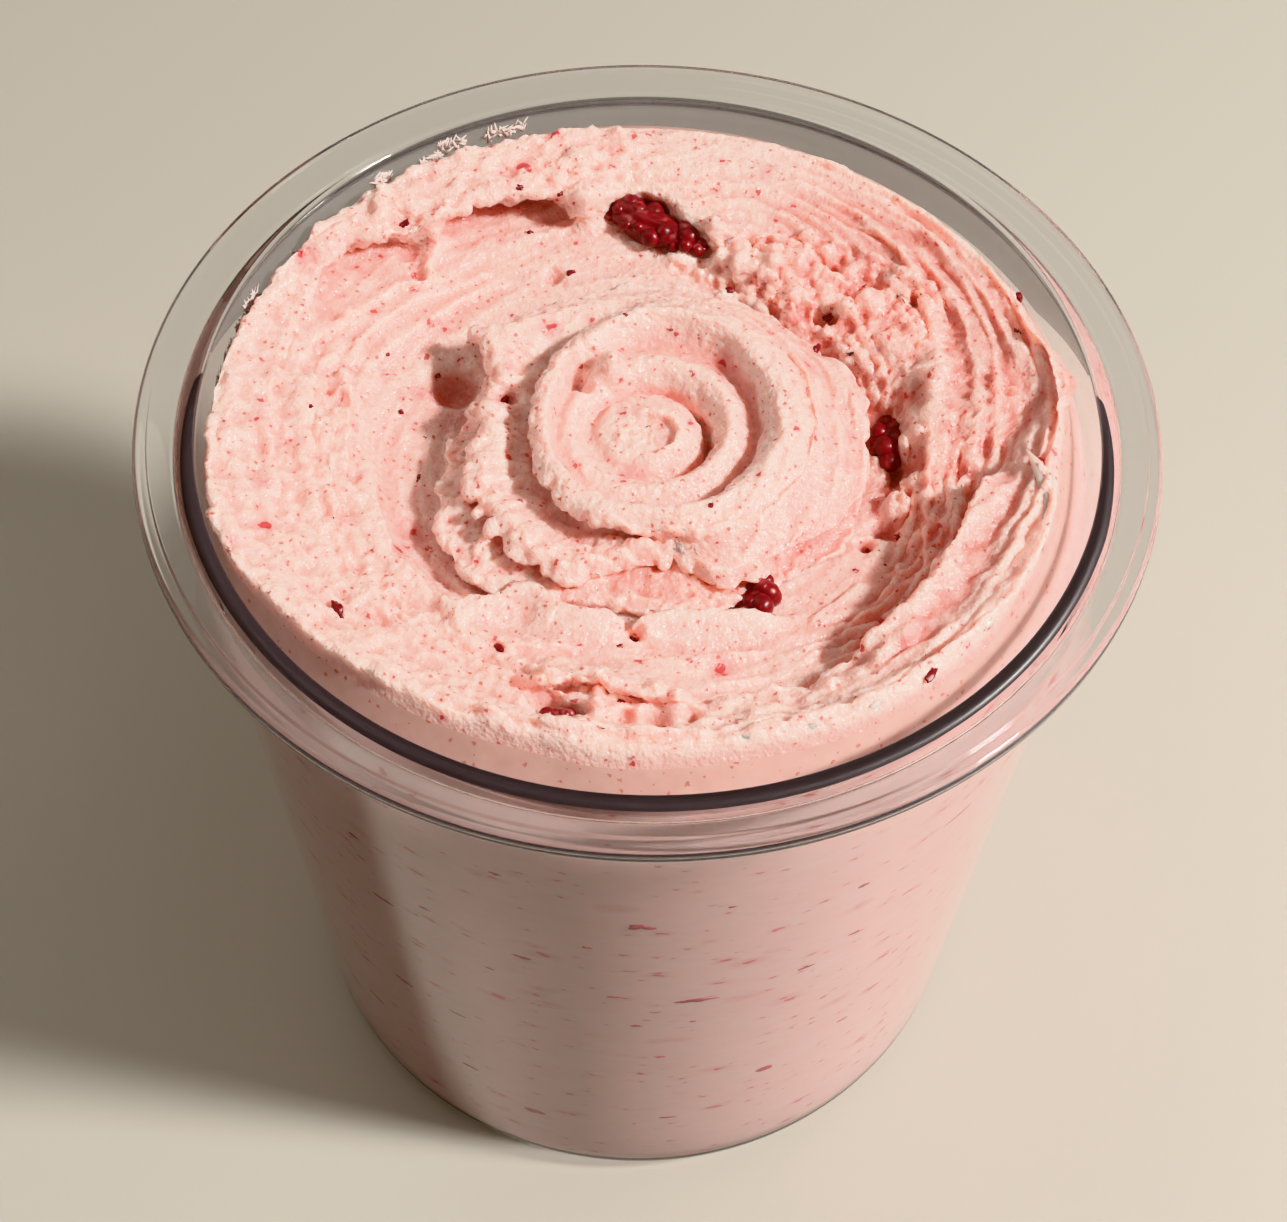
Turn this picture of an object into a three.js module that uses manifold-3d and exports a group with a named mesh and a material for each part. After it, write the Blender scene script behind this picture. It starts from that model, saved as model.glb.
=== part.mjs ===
// A clear plastic one-pint tub filled with churned berry ice cream, in millimetres, +Z up.
// The origin is at the middle of the tub's foot. The ice cream is a bowl of scraped
// ridges round a moat and a low swirled mound, with torn pieces of berry set in it.

import * as THREE from "three";
import { mergeVertices } from "three/addons/utils/BufferGeometryUtils.js";
import Module from "manifold-3d";

const wasm = await Module();
wasm.setup();

// ---- Driving dimensions ------------------------------------------------------------

const TUB_HEIGHT = 95;
const FLANGE_R = 50;          // outer edge of the flange round the mouth
const FLANGE_THICK = 2.3;
const BEAD_R = 48.6;          // inner side of the low step along the flange's edge
const BEAD_DROP = 0.25;
const MOUTH_R = 44.05;
const MOUTH_ROUND = 0.5;      // rounding of the mouth's inner edge
const WALL_OUTER_R = 45.8;    // outside of the wall, just under the flange
const BASE_R = 39.9;          // where the wall line would meet the table
const FLOOR_THICK = 2;
const FOOT_ROUND = 5.2;       // outer corner between wall and foot
const INNER_ROUND = 4;
const FOOT_RECESS_R = 30;     // the underside is raised inside this radius
const FOOT_RECESS = 0.8;
const TUB_STEPS = 60;

const FIT_GAP = 0.3;          // between the ice cream, the tub and each berry piece
const RING_COUNT = 40;        // rings of facets over the ice cream's top
const TURN_STEPS = 90;        // facets round the ice cream

const RIDGE_PITCH = 2.6;      // from one scraped ridge to the next
const SWIRL_PITCH = 1.9;      // of the fine spiral in the middle
const TAPER = (WALL_OUTER_R - BASE_R) / TUB_HEIGHT;

// ---- Shaping functions -------------------------------------------------------------

const degrees = Math.PI / 180;
const clamp = (value, low, high) => Math.min(high, Math.max(low, value));
const mix = (a, b, t) => a + (b - a) * t;
const wave = (angle, peak) => Math.cos((angle - peak) * degrees);

function rise(from, to, value) {
  const t = clamp((value - from) / (to - from), 0, 1);
  return t * t * (3 - 2 * t);
}

// 1 within half degrees of an angle round the tub, easing to 0 beyond
function sector(angle, middle, half, ease) {
  const away = Math.abs(((angle - middle + 900) % 360) - 180);
  return 1 - rise(half, half + ease, away);
}

// A scraped ridge: a steep side towards the middle and a long one away from it
function scrape(turns) {
  const t = turns - Math.floor(turns);
  return t < 0.35 ? t / 0.35 : (1 - t) / 0.65;
}

function lattice(i, j) {
  const s = Math.sin(i * 127.1 + j * 311.7) * 43758.5453;
  return s - Math.floor(s);
}

// Smooth lumps between -1 and 1, one to each unit of x and y
function lumps(x, y) {
  const i = Math.floor(x);
  const j = Math.floor(y);
  const u = rise(0, 1, x - i);
  const v = rise(0, 1, y - j);
  const low = mix(lattice(i, j), lattice(i + 1, j), u);
  const high = mix(lattice(i, j + 1), lattice(i + 1, j + 1), u);
  return 2 * mix(low, high, v) - 1;
}

const innerWallR = (depth) => MOUTH_R - TAPER * depth;

// ---- The ice cream's top, as a height below (minus) the rim ------------------------

// Radii and levels that change round the tub. Angles start at +X and turn towards +Y.
const crestR = (a) => 41.2 + 1.5 * wave(a, 170) - 2.2 * sector(a, 265, 25, 28);
const crestLevel = (a) =>
  -1.9 + 1.1 * wave(a, 300) + 1.5 * sector(a, 205, 10, 16)
  + 0.6 * sector(a, 345, 12, 8) + 0.7 * sector(a, 125, 25, 12);
const wallLevel = (a) => -5.9 + 2 * wave(a, 110);
const moatR = (a) => 27 + 3 * wave(a, 330) - 3.5 * sector(a, 255, 15, 25);
const moatLevel = (a) => -8.2 - sector(a, 170, 35, 40) + 0.6 * sector(a, 270, 40, 30);
const shelfR = (a) => 31.5 + 1.5 * wave(a, 300);
const shelfRise = (a) => 2.2 * sector(a, 320, 55, 25);
const bankR = 34.5;
const bankRise = (a) => 2.2 * sector(a, 115, 28, 12);
const ridgeDepth = (a) => 0.25 + 0.85 * sector(a, 345, 70, 40);

// The mound's middle layer ends in three torn lobes, over a lower layer at the front left
const moundR = (a) =>
  18.9 + wave(a, 10) + 2.6 * sector(a, 18, 14, 10) + 3.4 * sector(a, 143, 2, 6)
  + 1.6 * sector(a, 300, 12, 8) + 0.8 * sector(a, 232, 18, 16);
const moundShelf = -4.9;
const lowerLayerR = 23.2;
const lowerLayerRise = (a) => 1.7 * sector(a, 224, 16, 12);
const capR = (a) =>
  14.4 + 1.6 * wave(a, 0) + 1.2 * sector(a, 255, 30, 40) - 0.8 * sector(a, 170, 20, 30);
const capTop = -1;
const capShoulder = 1.9;
const smoothSide = (a) => sector(a, 350, 55, 40);
const gutterR = 6;
const dishDepth = 3.4;
const coreR = 5.6;
const coreRise = 1;
const innerRidgeR = 8.2;
const innerRidgeRise = (a) => 1.3 * (1 - sector(a, 190, 25, 35));

function bowlLevel(r, a) {
  const from = moatR(a);
  const to = crestR(a);
  const slope = mix(1, 0.75, sector(a, 190, 60, 40));
  const climb = clamp((r - from) / (to - from), 0, 1) ** slope;
  const even = rise(from, to, r);
  const ridges = ridgeDepth(a) * scrape((to - r) / RIDGE_PITCH + a / 360)
    * rise(from + 1, from + 4, r) * (1 - rise(to - 0.5, to + 1.2, r));
  const shelf = shelfRise(a) * (rise(shelfR(a) - 0.9, shelfR(a) + 0.9, r) - even);
  const bank = bankRise(a) * (rise(bankR - 0.8, bankR + 0.8, r) - even);
  const flank = clamp((r - to) / (MOUTH_R - to), 0, 1);
  return mix(moatLevel(a), crestLevel(a), climb) + shelf + bank - ridges
    + (wallLevel(a) - crestLevel(a)) * flank;
}

function moundHeight(r, a) {
  const soft = smoothSide(a);
  const edge = moundR(a) + 0.35 * lumps(a / 11, 3);
  const cap = capR(a) + 0.3 * lumps(a / 9, 7);
  const lower = 1 - rise(edge - mix(1.4, 6, soft), edge, r);
  const upper = 1 - rise(cap - mix(0.9, 4, soft), cap + mix(0.5, 2.5, soft), r);
  const dish = dishDepth * (1 - rise(gutterR, cap - capShoulder, r));
  const core = coreRise * (1 - rise(coreR - 1.6, coreR + 0.4, r));
  const innerRidge = innerRidgeRise(a)
    * rise(innerRidgeR - 1.4, innerRidgeR, r) * (1 - rise(innerRidgeR, innerRidgeR + 1.8, r));
  const lowerLayer = lowerLayerRise(a)
    * rise(edge - 2, edge, r) * (1 - rise(lowerLayerR - 1.2, lowerLayerR + 0.4, r));
  const swirl = 0.3 * scrape(r / SWIRL_PITCH - a / 360) * (1 - rise(15, 19, r));
  return (moundShelf - moatLevel(a)) * lower + (capTop - moundShelf) * upper
    - dish + core + innerRidge + lowerLayer - swirl;
}

// Torn ground beyond the mound, and the small hollows left beside it
const hollows = [
  { x: -7.4, y: -33, r: 2.6, depth: 1.6 },
  { x: 1.6, y: -34.6, r: 2.3, depth: 2 },
  { x: -14.5, y: 5.5, r: 2.2, depth: 2.2 },
  { x: 24, y: 5, r: 3.4, depth: 1.6 },
  { x: 7.5, y: 26.5, r: 3, depth: 1.4 },
];
const knobs = [
  { x: -4.4, y: 5.2, r: 2, height: 1.3 },
  { x: 29.5, y: 9, r: 1.8, height: 0.9 },
  { x: -3, y: 24.5, r: 3, height: 2.2 },
  { x: -30.5, y: -10, r: 2.2, height: 1.1 },
  { x: 23, y: -8, r: 3, height: 1.5 },
];

function tornLevel(x, y, r, a) {
  const crags = sector(a, 55, 28, 14) * rise(21, 24, r) * (1 - rise(30, 34, r));
  const bank = sector(a, 122, 26, 10) * rise(34, 36, r) * (1 - rise(41, 43, r));
  let level = 1.5 * crags * lumps(x / 2.4, y / 2.4) + 0.9 * crags
    + 0.8 * bank * lumps(x / 2.8, y / 2.8);
  for (const hollow of hollows) {
    const away = Math.hypot(x - hollow.x, y - hollow.y);
    level -= hollow.depth * (1 - rise(0.2 * hollow.r, hollow.r, away));
  }
  for (const knob of knobs) {
    const away = Math.hypot(x - knob.x, y - knob.y);
    level += knob.height * (1 - rise(0.3 * knob.r, knob.r, away));
  }
  return level;
}

function topLevel(x, y) {
  const r = Math.hypot(x, y);
  const a = (Math.atan2(y, x) / degrees + 360) % 360;
  const level = bowlLevel(r, a) + moundHeight(r, a) + tornLevel(x, y, r, a);
  return Math.min(level, -0.05);
}

// ---- Solids ------------------------------------------------------------------------

function toSolid(geometry) {
  const bare = geometry.clone();
  bare.deleteAttribute("normal");
  bare.deleteAttribute("uv");
  const merged = mergeVertices(bare, 1e-5);
  const corners = merged.index.array;
  const kept = [];
  for (let i = 0; i < corners.length; i += 3) {
    const [p, q, s] = corners.slice(i, i + 3);
    if (p !== q && q !== s && s !== p) kept.push(p, q, s);
  }
  return new wasm.Manifold(new wasm.Mesh({
    numProp: 3,
    vertProperties: new Float32Array(merged.attributes.position.array),
    triVerts: new Uint32Array(kept),
  }));
}

function toGeometry(solid) {
  const mesh = solid.getMesh();
  const geometry = new THREE.BufferGeometry();
  geometry.setAttribute("position", new THREE.BufferAttribute(mesh.vertProperties, 3));
  geometry.setIndex(new THREE.BufferAttribute(mesh.triVerts, 1));
  geometry.computeVertexNormals();
  return geometry;
}

function arcPoints(centreR, centreZ, radius, fromDeg, toDeg, steps) {
  return Array.from({ length: steps + 1 }, (_, i) => {
    const turn = mix(fromDeg, toDeg, i / steps) * degrees;
    return new THREE.Vector2(centreR + radius * Math.cos(turn), centreZ + radius * Math.sin(turn));
  });
}

// A profile of (radius, height) points turned about Z
const turned = (profile, steps) => new THREE.LatheGeometry(profile, steps).rotateX(Math.PI / 2);

// ---- The tub -----------------------------------------------------------------------

function tubGeometry() {
  const point = (r, z) => new THREE.Vector2(r, z);
  const top = TUB_HEIGHT;
  const footR = BASE_R + TAPER * FOOT_ROUND - FOOT_ROUND;
  const floorR = innerWallR(top - FLOOR_THICK - INNER_ROUND) - INNER_ROUND;
  return turned([
    point(0, FOOT_RECESS),
    point(FOOT_RECESS_R - 1, FOOT_RECESS),
    point(FOOT_RECESS_R, 0),
    ...arcPoints(footR, FOOT_ROUND, FOOT_ROUND, -90, 0, 4),
    point(WALL_OUTER_R, top - FLANGE_THICK - 0.7),
    point(WALL_OUTER_R + 0.7, top - FLANGE_THICK),
    point(FLANGE_R - 0.9, top - FLANGE_THICK),
    point(FLANGE_R - 0.2, top - FLANGE_THICK + 0.4),
    point(FLANGE_R, top - 1.2),
    point(FLANGE_R - 0.35, top - BEAD_DROP - 0.25),
    point(FLANGE_R - 0.9, top - BEAD_DROP),
    point(BEAD_R, top - BEAD_DROP),
    point(BEAD_R - 0.15, top),
    ...arcPoints(MOUTH_R + MOUTH_ROUND, top - MOUTH_ROUND, MOUTH_ROUND, 90, 180, 2),
    ...arcPoints(floorR, FLOOR_THICK + INNER_ROUND, INNER_ROUND, 0, -90, 3),
    point(0, FLOOR_THICK),
  ], TUB_STEPS);
}

// ---- The ice cream -----------------------------------------------------------------

function iceCreamGeometry() {
  const bottom = FLOOR_THICK + FIT_GAP;
  const cornerZ = FLOOR_THICK + INNER_ROUND;
  const floorR = innerWallR(TUB_HEIGHT - cornerZ) - INNER_ROUND;
  const side = [
    new THREE.Vector2(0, bottom),
    ...arcPoints(floorR, cornerZ, INNER_ROUND - FIT_GAP, -90, 0, 3),
  ];
  const top = Array.from({ length: RING_COUNT + 1 }, (_, i) =>
    new THREE.Vector2((MOUTH_R - FIT_GAP) * (1 - i / RING_COUNT), TUB_HEIGHT));
  const geometry = turned([...side, ...top], TURN_STEPS);
  const spots = geometry.attributes.position;
  for (let i = 0; i < spots.count; i += 1) {
    if (spots.getZ(i) < TUB_HEIGHT - 1) continue;
    const x = spots.getX(i);
    const y = spots.getY(i);
    const angle = (Math.atan2(y, x) / degrees + 360) % 360;
    const shrink = (innerWallR(-wallLevel(angle)) - FIT_GAP) / (MOUTH_R - FIT_GAP);
    spots.setXYZ(i, x * shrink, y * shrink, TUB_HEIGHT + topLevel(x * shrink, y * shrink));
  }
  return geometry;
}

// ---- Pieces of berry ---------------------------------------------------------------

const berries = [
  { name: "berry_back", x: 0.6, y: 29.6, sink: 0.8, size: [6.6, 2.6, 2.2], turn: -37, detail: 4 },
  { name: "berry_right", x: 25.2, y: 4.4, sink: 0.6, size: [2.9, 2.3, 1.9], turn: 70, detail: 3 },
  { name: "berry_front", x: 10.8, y: -18.6, sink: 0.2, size: [2.3, 1.6, 1.4], turn: 50, detail: 2 },
  { name: "berry_crest", x: -7.4, y: -33.4, sink: 0.2, size: [1.9, 1.1, 0.8], turn: -12, detail: 2 },
];

// A torn chunk: an ellipsoid with the round drupelets of a raspberry. Its grown
// shape, larger by the gap all round, cuts the pocket that it sits in.
function berryGeometry(berry, grow) {
  const geometry = new THREE.IcosahedronGeometry(1, berry.detail);
  const spots = geometry.attributes.position;
  const beads = 2.3;
  for (let i = 0; i < spots.count; i += 1) {
    const [x, y, z] = [0, 1, 2].map((k) => spots.getComponent(i, k) * berry.size[k]);
    const bead = Math.cos(x * beads) * Math.cos(y * beads) * Math.cos(z * beads);
    const length = Math.hypot(x, y, z);
    const stretch = (length * (1 + 0.06 * bead) + grow) / length;
    spots.setXYZ(i, x * stretch, y * stretch, z * stretch);
  }
  geometry.rotateZ(berry.turn * degrees);
  const level = topLevel(berry.x, berry.y) - berry.sink;
  return geometry.translate(berry.x, berry.y, TUB_HEIGHT + level);
}

// ---- Assembly ----------------------------------------------------------------------

function piece(name, geometry, color, roughness, extra = {}) {
  const material = new THREE.MeshStandardMaterial({ color, roughness, metalness: 0, ...extra });
  const mesh = new THREE.Mesh(geometry, material);
  mesh.name = name;
  return mesh;
}

const filledTub = new THREE.Group();
const clear = { transparent: true, opacity: 0.3 };
filledTub.add(piece("tub", toGeometry(toSolid(tubGeometry())), 0xd9d6cf, 0.08, clear));

let iceCream = toSolid(iceCreamGeometry());
for (const berry of berries) {
  iceCream = iceCream.subtract(toSolid(berryGeometry(berry, FIT_GAP * 1.25)));
  filledTub.add(piece(berry.name, toGeometry(toSolid(berryGeometry(berry, 0))), 0x8c1426, 0.35));
}
filledTub.add(piece("ice_cream", toGeometry(iceCream), 0xeebcb2, 0.6));

export default filledTub;
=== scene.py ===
import math

import bmesh
import bpy
import numpy as np
from mathutils import Matrix, Vector


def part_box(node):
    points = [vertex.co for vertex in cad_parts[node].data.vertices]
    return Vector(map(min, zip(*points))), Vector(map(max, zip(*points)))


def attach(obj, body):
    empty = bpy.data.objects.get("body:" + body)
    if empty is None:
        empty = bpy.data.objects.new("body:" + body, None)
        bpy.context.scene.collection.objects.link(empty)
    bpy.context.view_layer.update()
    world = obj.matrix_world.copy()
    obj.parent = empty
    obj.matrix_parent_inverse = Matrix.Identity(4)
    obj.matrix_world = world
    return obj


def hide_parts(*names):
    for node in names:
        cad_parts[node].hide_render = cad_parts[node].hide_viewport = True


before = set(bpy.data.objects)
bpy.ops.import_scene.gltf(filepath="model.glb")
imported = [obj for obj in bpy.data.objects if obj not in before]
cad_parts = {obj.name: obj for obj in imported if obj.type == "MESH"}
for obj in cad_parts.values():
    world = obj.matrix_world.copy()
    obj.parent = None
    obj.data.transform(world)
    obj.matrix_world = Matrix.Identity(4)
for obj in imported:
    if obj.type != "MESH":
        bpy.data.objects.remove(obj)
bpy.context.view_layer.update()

MM = 0.001


# ---- The tub ------------------------------------------------------------------------
# A one-pint tub, injection moulded in clear plastic: a thin tapered wall on a rounded
# foot, and a flat flange round the mouth whose edge steps down to a rounded bead.

_, tub_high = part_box("tub")
TUB_HEIGHT = tub_high.z / MM
FLANGE_R = tub_high.x / MM
FLANGE_THICK = 2.3
BEAD_R = 48.6
BEAD_DROP = 0.25
MOUTH_R = 44.05
MOUTH_ROUND = 0.5
WALL_OUTER_R = 45.8
BASE_R = 39.9
FLOOR_THICK = 2.0
FOOT_ROUND = 5.2
INNER_ROUND = 4.0
FOOT_RECESS_R = 30.0
FOOT_RECESS = 0.8
TUB_STEPS = 256
TAPER = (WALL_OUTER_R - BASE_R) / TUB_HEIGHT
CLEAR_PLASTIC = (0.87, 0.87, 0.88, 1)
SHADE_OF_PLASTIC = (0.75, 0.75, 0.75, 1)


def inner_wall_r(depth):
    return MOUTH_R - TAPER * depth


def arc_points(centre_r, centre_z, radius, start, end, steps):
    turns = [math.radians(start + (end - start) * i / steps) for i in range(steps + 1)]
    return [(centre_r + radius * math.cos(t), centre_z + radius * math.sin(t)) for t in turns]


def turned_mesh(profile, steps):
    """A closed (radius, height) outline in millimetres, spun about Z."""
    bm = bmesh.new()
    corners = [bm.verts.new((r * MM, 0, z * MM)) for r, z in profile]
    edges = [bm.edges.new(pair) for pair in zip(corners, corners[1:])]
    bmesh.ops.spin(bm, geom=corners + edges, axis=(0, 0, 1), cent=(0, 0, 0),
                   angle=math.tau, steps=steps, use_merge=True)
    bmesh.ops.remove_doubles(bm, verts=bm.verts, dist=1e-6)
    bmesh.ops.recalc_face_normals(bm, faces=bm.faces)
    return bm


def finished_piece(name, bm, *materials):
    """A bmesh, already in its place, as a smooth-shaded piece on the tub."""
    mesh = bpy.data.meshes.new(name)
    bm.to_mesh(mesh)
    bm.free()
    mesh.shade_smooth()
    for material in materials:
        mesh.materials.append(material)
    piece = bpy.data.objects.new(name, mesh)
    bpy.context.scene.collection.objects.link(piece)
    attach(piece, "root")
    return piece


def shader_material(name):
    """A new node material: its nodes, its links and its Principled shader."""
    material = bpy.data.materials.new(name)
    material.use_nodes = True
    nodes = material.node_tree.nodes
    return material, nodes, material.node_tree.links, nodes["Principled BSDF"]


def clear_plastic():
    material, nodes, links, gloss = shader_material("clear_plastic")
    gloss.inputs["Base Color"].default_value = CLEAR_PLASTIC
    gloss.inputs["Roughness"].default_value = 0.03
    gloss.inputs["IOR"].default_value = 1.49
    gloss.inputs["Transmission Weight"].default_value = 1
    rays = nodes.new("ShaderNodeLightPath")
    through = nodes.new("ShaderNodeBsdfTransparent")
    through.inputs["Color"].default_value = SHADE_OF_PLASTIC
    blend = nodes.new("ShaderNodeMixShader")
    links.new(rays.outputs["Is Shadow Ray"], blend.inputs["Fac"])
    links.new(gloss.outputs["BSDF"], blend.inputs[1])
    links.new(through.outputs["BSDF"], blend.inputs[2])
    links.new(blend.outputs["Shader"], nodes["Material Output"].inputs["Surface"])
    return material


foot_r = BASE_R + TAPER * FOOT_ROUND - FOOT_ROUND
floor_r = inner_wall_r(TUB_HEIGHT - FLOOR_THICK - INNER_ROUND) - INNER_ROUND
under_flange = TUB_HEIGHT - FLANGE_THICK
tub_profile = [
    (0, FOOT_RECESS),
    (FOOT_RECESS_R - 1, FOOT_RECESS),
    (FOOT_RECESS_R - 0.3, 0.15),
    (FOOT_RECESS_R + 0.2, 0),
    *arc_points(foot_r, FOOT_ROUND, FOOT_ROUND, -90, 0, 12),
    *[(WALL_OUTER_R + 0.7 + 0.7 * math.cos(t), under_flange - 0.7 + 0.7 * math.sin(t))
      for t in np.radians(np.linspace(180, 90, 6))],
    *arc_points(FLANGE_R - 0.9, under_flange + 0.9, 0.9, -90, 0, 6),
    *arc_points(FLANGE_R - 0.75, TUB_HEIGHT - BEAD_DROP - 0.75, 0.75, 0, 90, 6),
    (BEAD_R + 0.1, TUB_HEIGHT - BEAD_DROP),
    (BEAD_R, TUB_HEIGHT - BEAD_DROP + 0.04),
    (BEAD_R - 0.12, TUB_HEIGHT - 0.03),
    (BEAD_R - 0.25, TUB_HEIGHT),
    *arc_points(MOUTH_R + MOUTH_ROUND, TUB_HEIGHT - MOUTH_ROUND, MOUTH_ROUND, 90, 180, 6),
    *arc_points(floor_r, FLOOR_THICK + INNER_ROUND, INNER_ROUND, 0, -90, 8),
    (0, FLOOR_THICK),
]
tub = finished_piece("clear_tub", turned_mesh(tub_profile, TUB_STEPS), clear_plastic())
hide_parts("tub")


# ---- The dark line in the rim ---------------------------------------------------------
# Seen from the front, a nearly black line runs round the mouth in the clear wall's edge,
# most likely where the plastic bends the light away. A thin dark band inside the rim is
# painted shade standing in for it, widest in front and almost nothing at the left and the right.

LINE_LEVEL = 94.2
LINE_INNER_R = 44.15
LINE_WIDTH = 1.5
LINE_THIN_END = 0.05
BAND_THICK = 0.06
BAND_STEPS = 240


def swept_band(corner, start, turn):
    """A closed band swept round the axis, from an angle by a turn, both in degrees.

    Corner gives the radius and the level of a corner of its section, from a pair that is
    -0.5 or 0.5 each.
    """
    bm = bmesh.new()
    begin = math.radians(start)
    for vert in bmesh.ops.create_grid(bm, x_segments=1, y_segments=1, size=0.5)["verts"]:
        r, z = corner(vert.co.x, vert.co.y)
        vert.co = Vector((r * math.cos(begin), r * math.sin(begin), z)) * MM
    bmesh.ops.spin(bm, geom=bm.faces[:], axis=(0, 0, 1), cent=(0, 0, 0),
                   angle=math.radians(turn), steps=BAND_STEPS)
    return bm


def line_corner(across, up):
    return LINE_INNER_R + LINE_WIDTH * (across + 0.5), LINE_LEVEL - BAND_THICK * (up + 0.5)


def line_width(turn):
    front = max(0, math.sin(-turn) + 0.10)
    return LINE_WIDTH * min(1, 2.4 * front) ** 0.5


def painted_rim_line_material():
    material, _, _, dark = shader_material("painted_rim_line_shade")
    dark.inputs["Roughness"].default_value = 0.35
    # Painted shade: a near-black colour for the dark line the plastic shows
    dark.inputs["Base Color"].default_value = (0.045, 0.033, 0.038, 1)
    return material


line_mesh = swept_band(line_corner, start=174, turn=192)
for vert in line_mesh.verts:
    turn = math.atan2(vert.co.y, vert.co.x)
    if math.hypot(vert.co.x, vert.co.y) > (LINE_INNER_R + 0.5 * LINE_WIDTH) * MM:
        r = (LINE_INNER_R + max(LINE_THIN_END, line_width(turn))) * MM
        vert.co.x, vert.co.y = r * math.cos(turn), r * math.sin(turn)
bmesh.ops.recalc_face_normals(line_mesh, faces=line_mesh.faces)
dark_line = finished_piece("painted_dark_line_in_rim", line_mesh, painted_rim_line_material())


# ---- The smoky far wall -----------------------------------------------------------------
# The bare plastic above the ice cream at the back is seen from inside, through its own
# thickness, and shows a smoky grey. A thin see-through grey band inside that wall is
# painted shade standing in for it, and narrows almost to nothing at both ends.

SMOKE_START = 8
SMOKE_TURN = 164
SMOKE_TOP = 94.35
SMOKE_FOOT = 90.2
SMOKE_INSET = 0.16      # how deep it lies in the wall


def smoke_corner(across, up):
    z = SMOKE_TOP if up > 0 else SMOKE_FOOT
    return inner_wall_r(TUB_HEIGHT - z) + SMOKE_INSET + BAND_THICK * (across + 0.5), z


def painted_grey_material():
    material, _, _, smoke = shader_material("painted_far_wall_shade")
    # Painted shade: the grey that the far wall shows through its own thickness
    smoke.inputs["Base Color"].default_value = (0.17, 0.16, 0.165, 1)
    smoke.inputs["Roughness"].default_value = 0.6
    smoke.inputs["Alpha"].default_value = 0.3
    return material


smoke_mesh = swept_band(smoke_corner, SMOKE_START, SMOKE_TURN)
for vert in smoke_mesh.verts:
    if vert.co.z < SMOKE_FOOT * MM + 1e-4:
        turn = math.degrees(math.atan2(vert.co.y, vert.co.x)) - SMOKE_START
        share = min(1, 3 * math.sin(math.pi * turn / SMOKE_TURN) + 0.05)
        vert.co.z = (SMOKE_TOP + (SMOKE_FOOT - SMOKE_TOP) * share) * MM
bmesh.ops.recalc_face_normals(smoke_mesh, faces=smoke_mesh.faces)
smoke_ring = finished_piece("painted_grey_far_wall", smoke_mesh, painted_grey_material())


# ---- The ice cream ------------------------------------------------------------------
# Churned berry ice cream, scraped by a turning paddle into a bowl of ridges round a
# moat, with a low rolled mound laid in the middle. It is soft, full of fine seeds, and
# torn where it pulled away. It fills the tub and is pressed flat against the clear wall.

BOWL_SPOKES = 640
BOWL_ROWS = 124
SIDE_ROWS = 12
CORNER_ROWS = 4
MOUND_SPOKES = 600
MOUND_ROWS = 150
FLANK_SHADE = 0.6       # painted shade: how much darker its colour is made where it turns down to the wall
WALL_BITE = 0.12        # how far it reaches into the plastic, so that no air shows
PRESSED_FROM = 0.499    # share of pressing from which the flat side's material is used
MAP_HALF = 96           # half width of the level map, in half millimetres


def mix(low, high, t):
    return low + (high - low) * t


def rise(low, high, value):
    t = np.clip((value - low) / (high - low), 0, 1)
    return t * t * (3 - 2 * t)


def sector(angle, middle, half, ease):
    """1 within half degrees of an angle round the tub, easing to 0 beyond."""
    away = np.abs((angle - middle + 180) % 360 - 180)
    return 1 - rise(half, half + ease, away)


def around(*pairs, soft=5):
    """A value set at some angles round the tub, in degrees, and eased between them."""
    turn = np.arange(720) / 2
    values = np.interp(turn, *zip(*pairs), period=360)
    reach = np.exp(-0.5 * (np.minimum(turn, 360 - turn) / soft) ** 2)
    eased = np.fft.ifft(np.fft.fft(values) * np.fft.fft(reach / reach.sum())).real
    return lambda a: np.interp(a, turn, eased, period=360)


def lattice(i, j, k):
    s = np.sin(i * 127.1 + j * 311.7 + k * 74.7) * 43758.5453
    return s - np.floor(s)


def lumps(x, y, z=0.0):
    """Smooth lumps between -1 and 1, one to each unit of x, y and z."""
    x, y, z = np.broadcast_arrays(x, y, z)
    i, j, k = np.floor(x), np.floor(y), np.floor(z)
    u, v, w = (t * t * t * (t * (6 * t - 15) + 10) for t in (x - i, y - j, z - k))
    faces = [mix(mix(lattice(i, j, k + d), lattice(i + 1, j, k + d), u),
                 mix(lattice(i, j + 1, k + d), lattice(i + 1, j + 1, k + d), u), v)
             for d in (0, 1)]
    return 2 * mix(faces[0], faces[1], w) - 1


def clots(spots, size, seed):
    """Rounded crumbs about a size in millimetres: 1 on a crumb's top, 0 in the creases."""
    cell = np.floor(spots / size)
    nearest = np.full(spots.shape[:-1], 9.0)
    for i in (-1, 0, 1):
        for j in (-1, 0, 1):
            for k in (-1, 0, 1):
                home = cell + (i, j, k)
                hx, hy, hz = home[..., 0] + seed, home[..., 1], home[..., 2]
                seat = home + np.stack([lattice(hx, hy, hz), lattice(hy, hz, hx + 31),
                                        lattice(hz, hx + 57, hy)], -1)
                nearest = np.minimum(nearest, ((spots / size - seat) ** 2).sum(-1))
    return np.clip(1 - nearest, 0, 1)


def jag(a, seed, lobes=0.45, teeth=0.3):
    """A torn edge: how far it strays from its ring, in millimetres, round the tub."""
    c, s = np.cos(np.radians(a)), np.sin(np.radians(a))
    return (lobes * lumps(c * 4, s * 4, seed) + 0.6 * lobes * lumps(c * 9, s * 9, seed)
            + teeth * lumps(c * 17, s * 17, seed))


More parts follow.
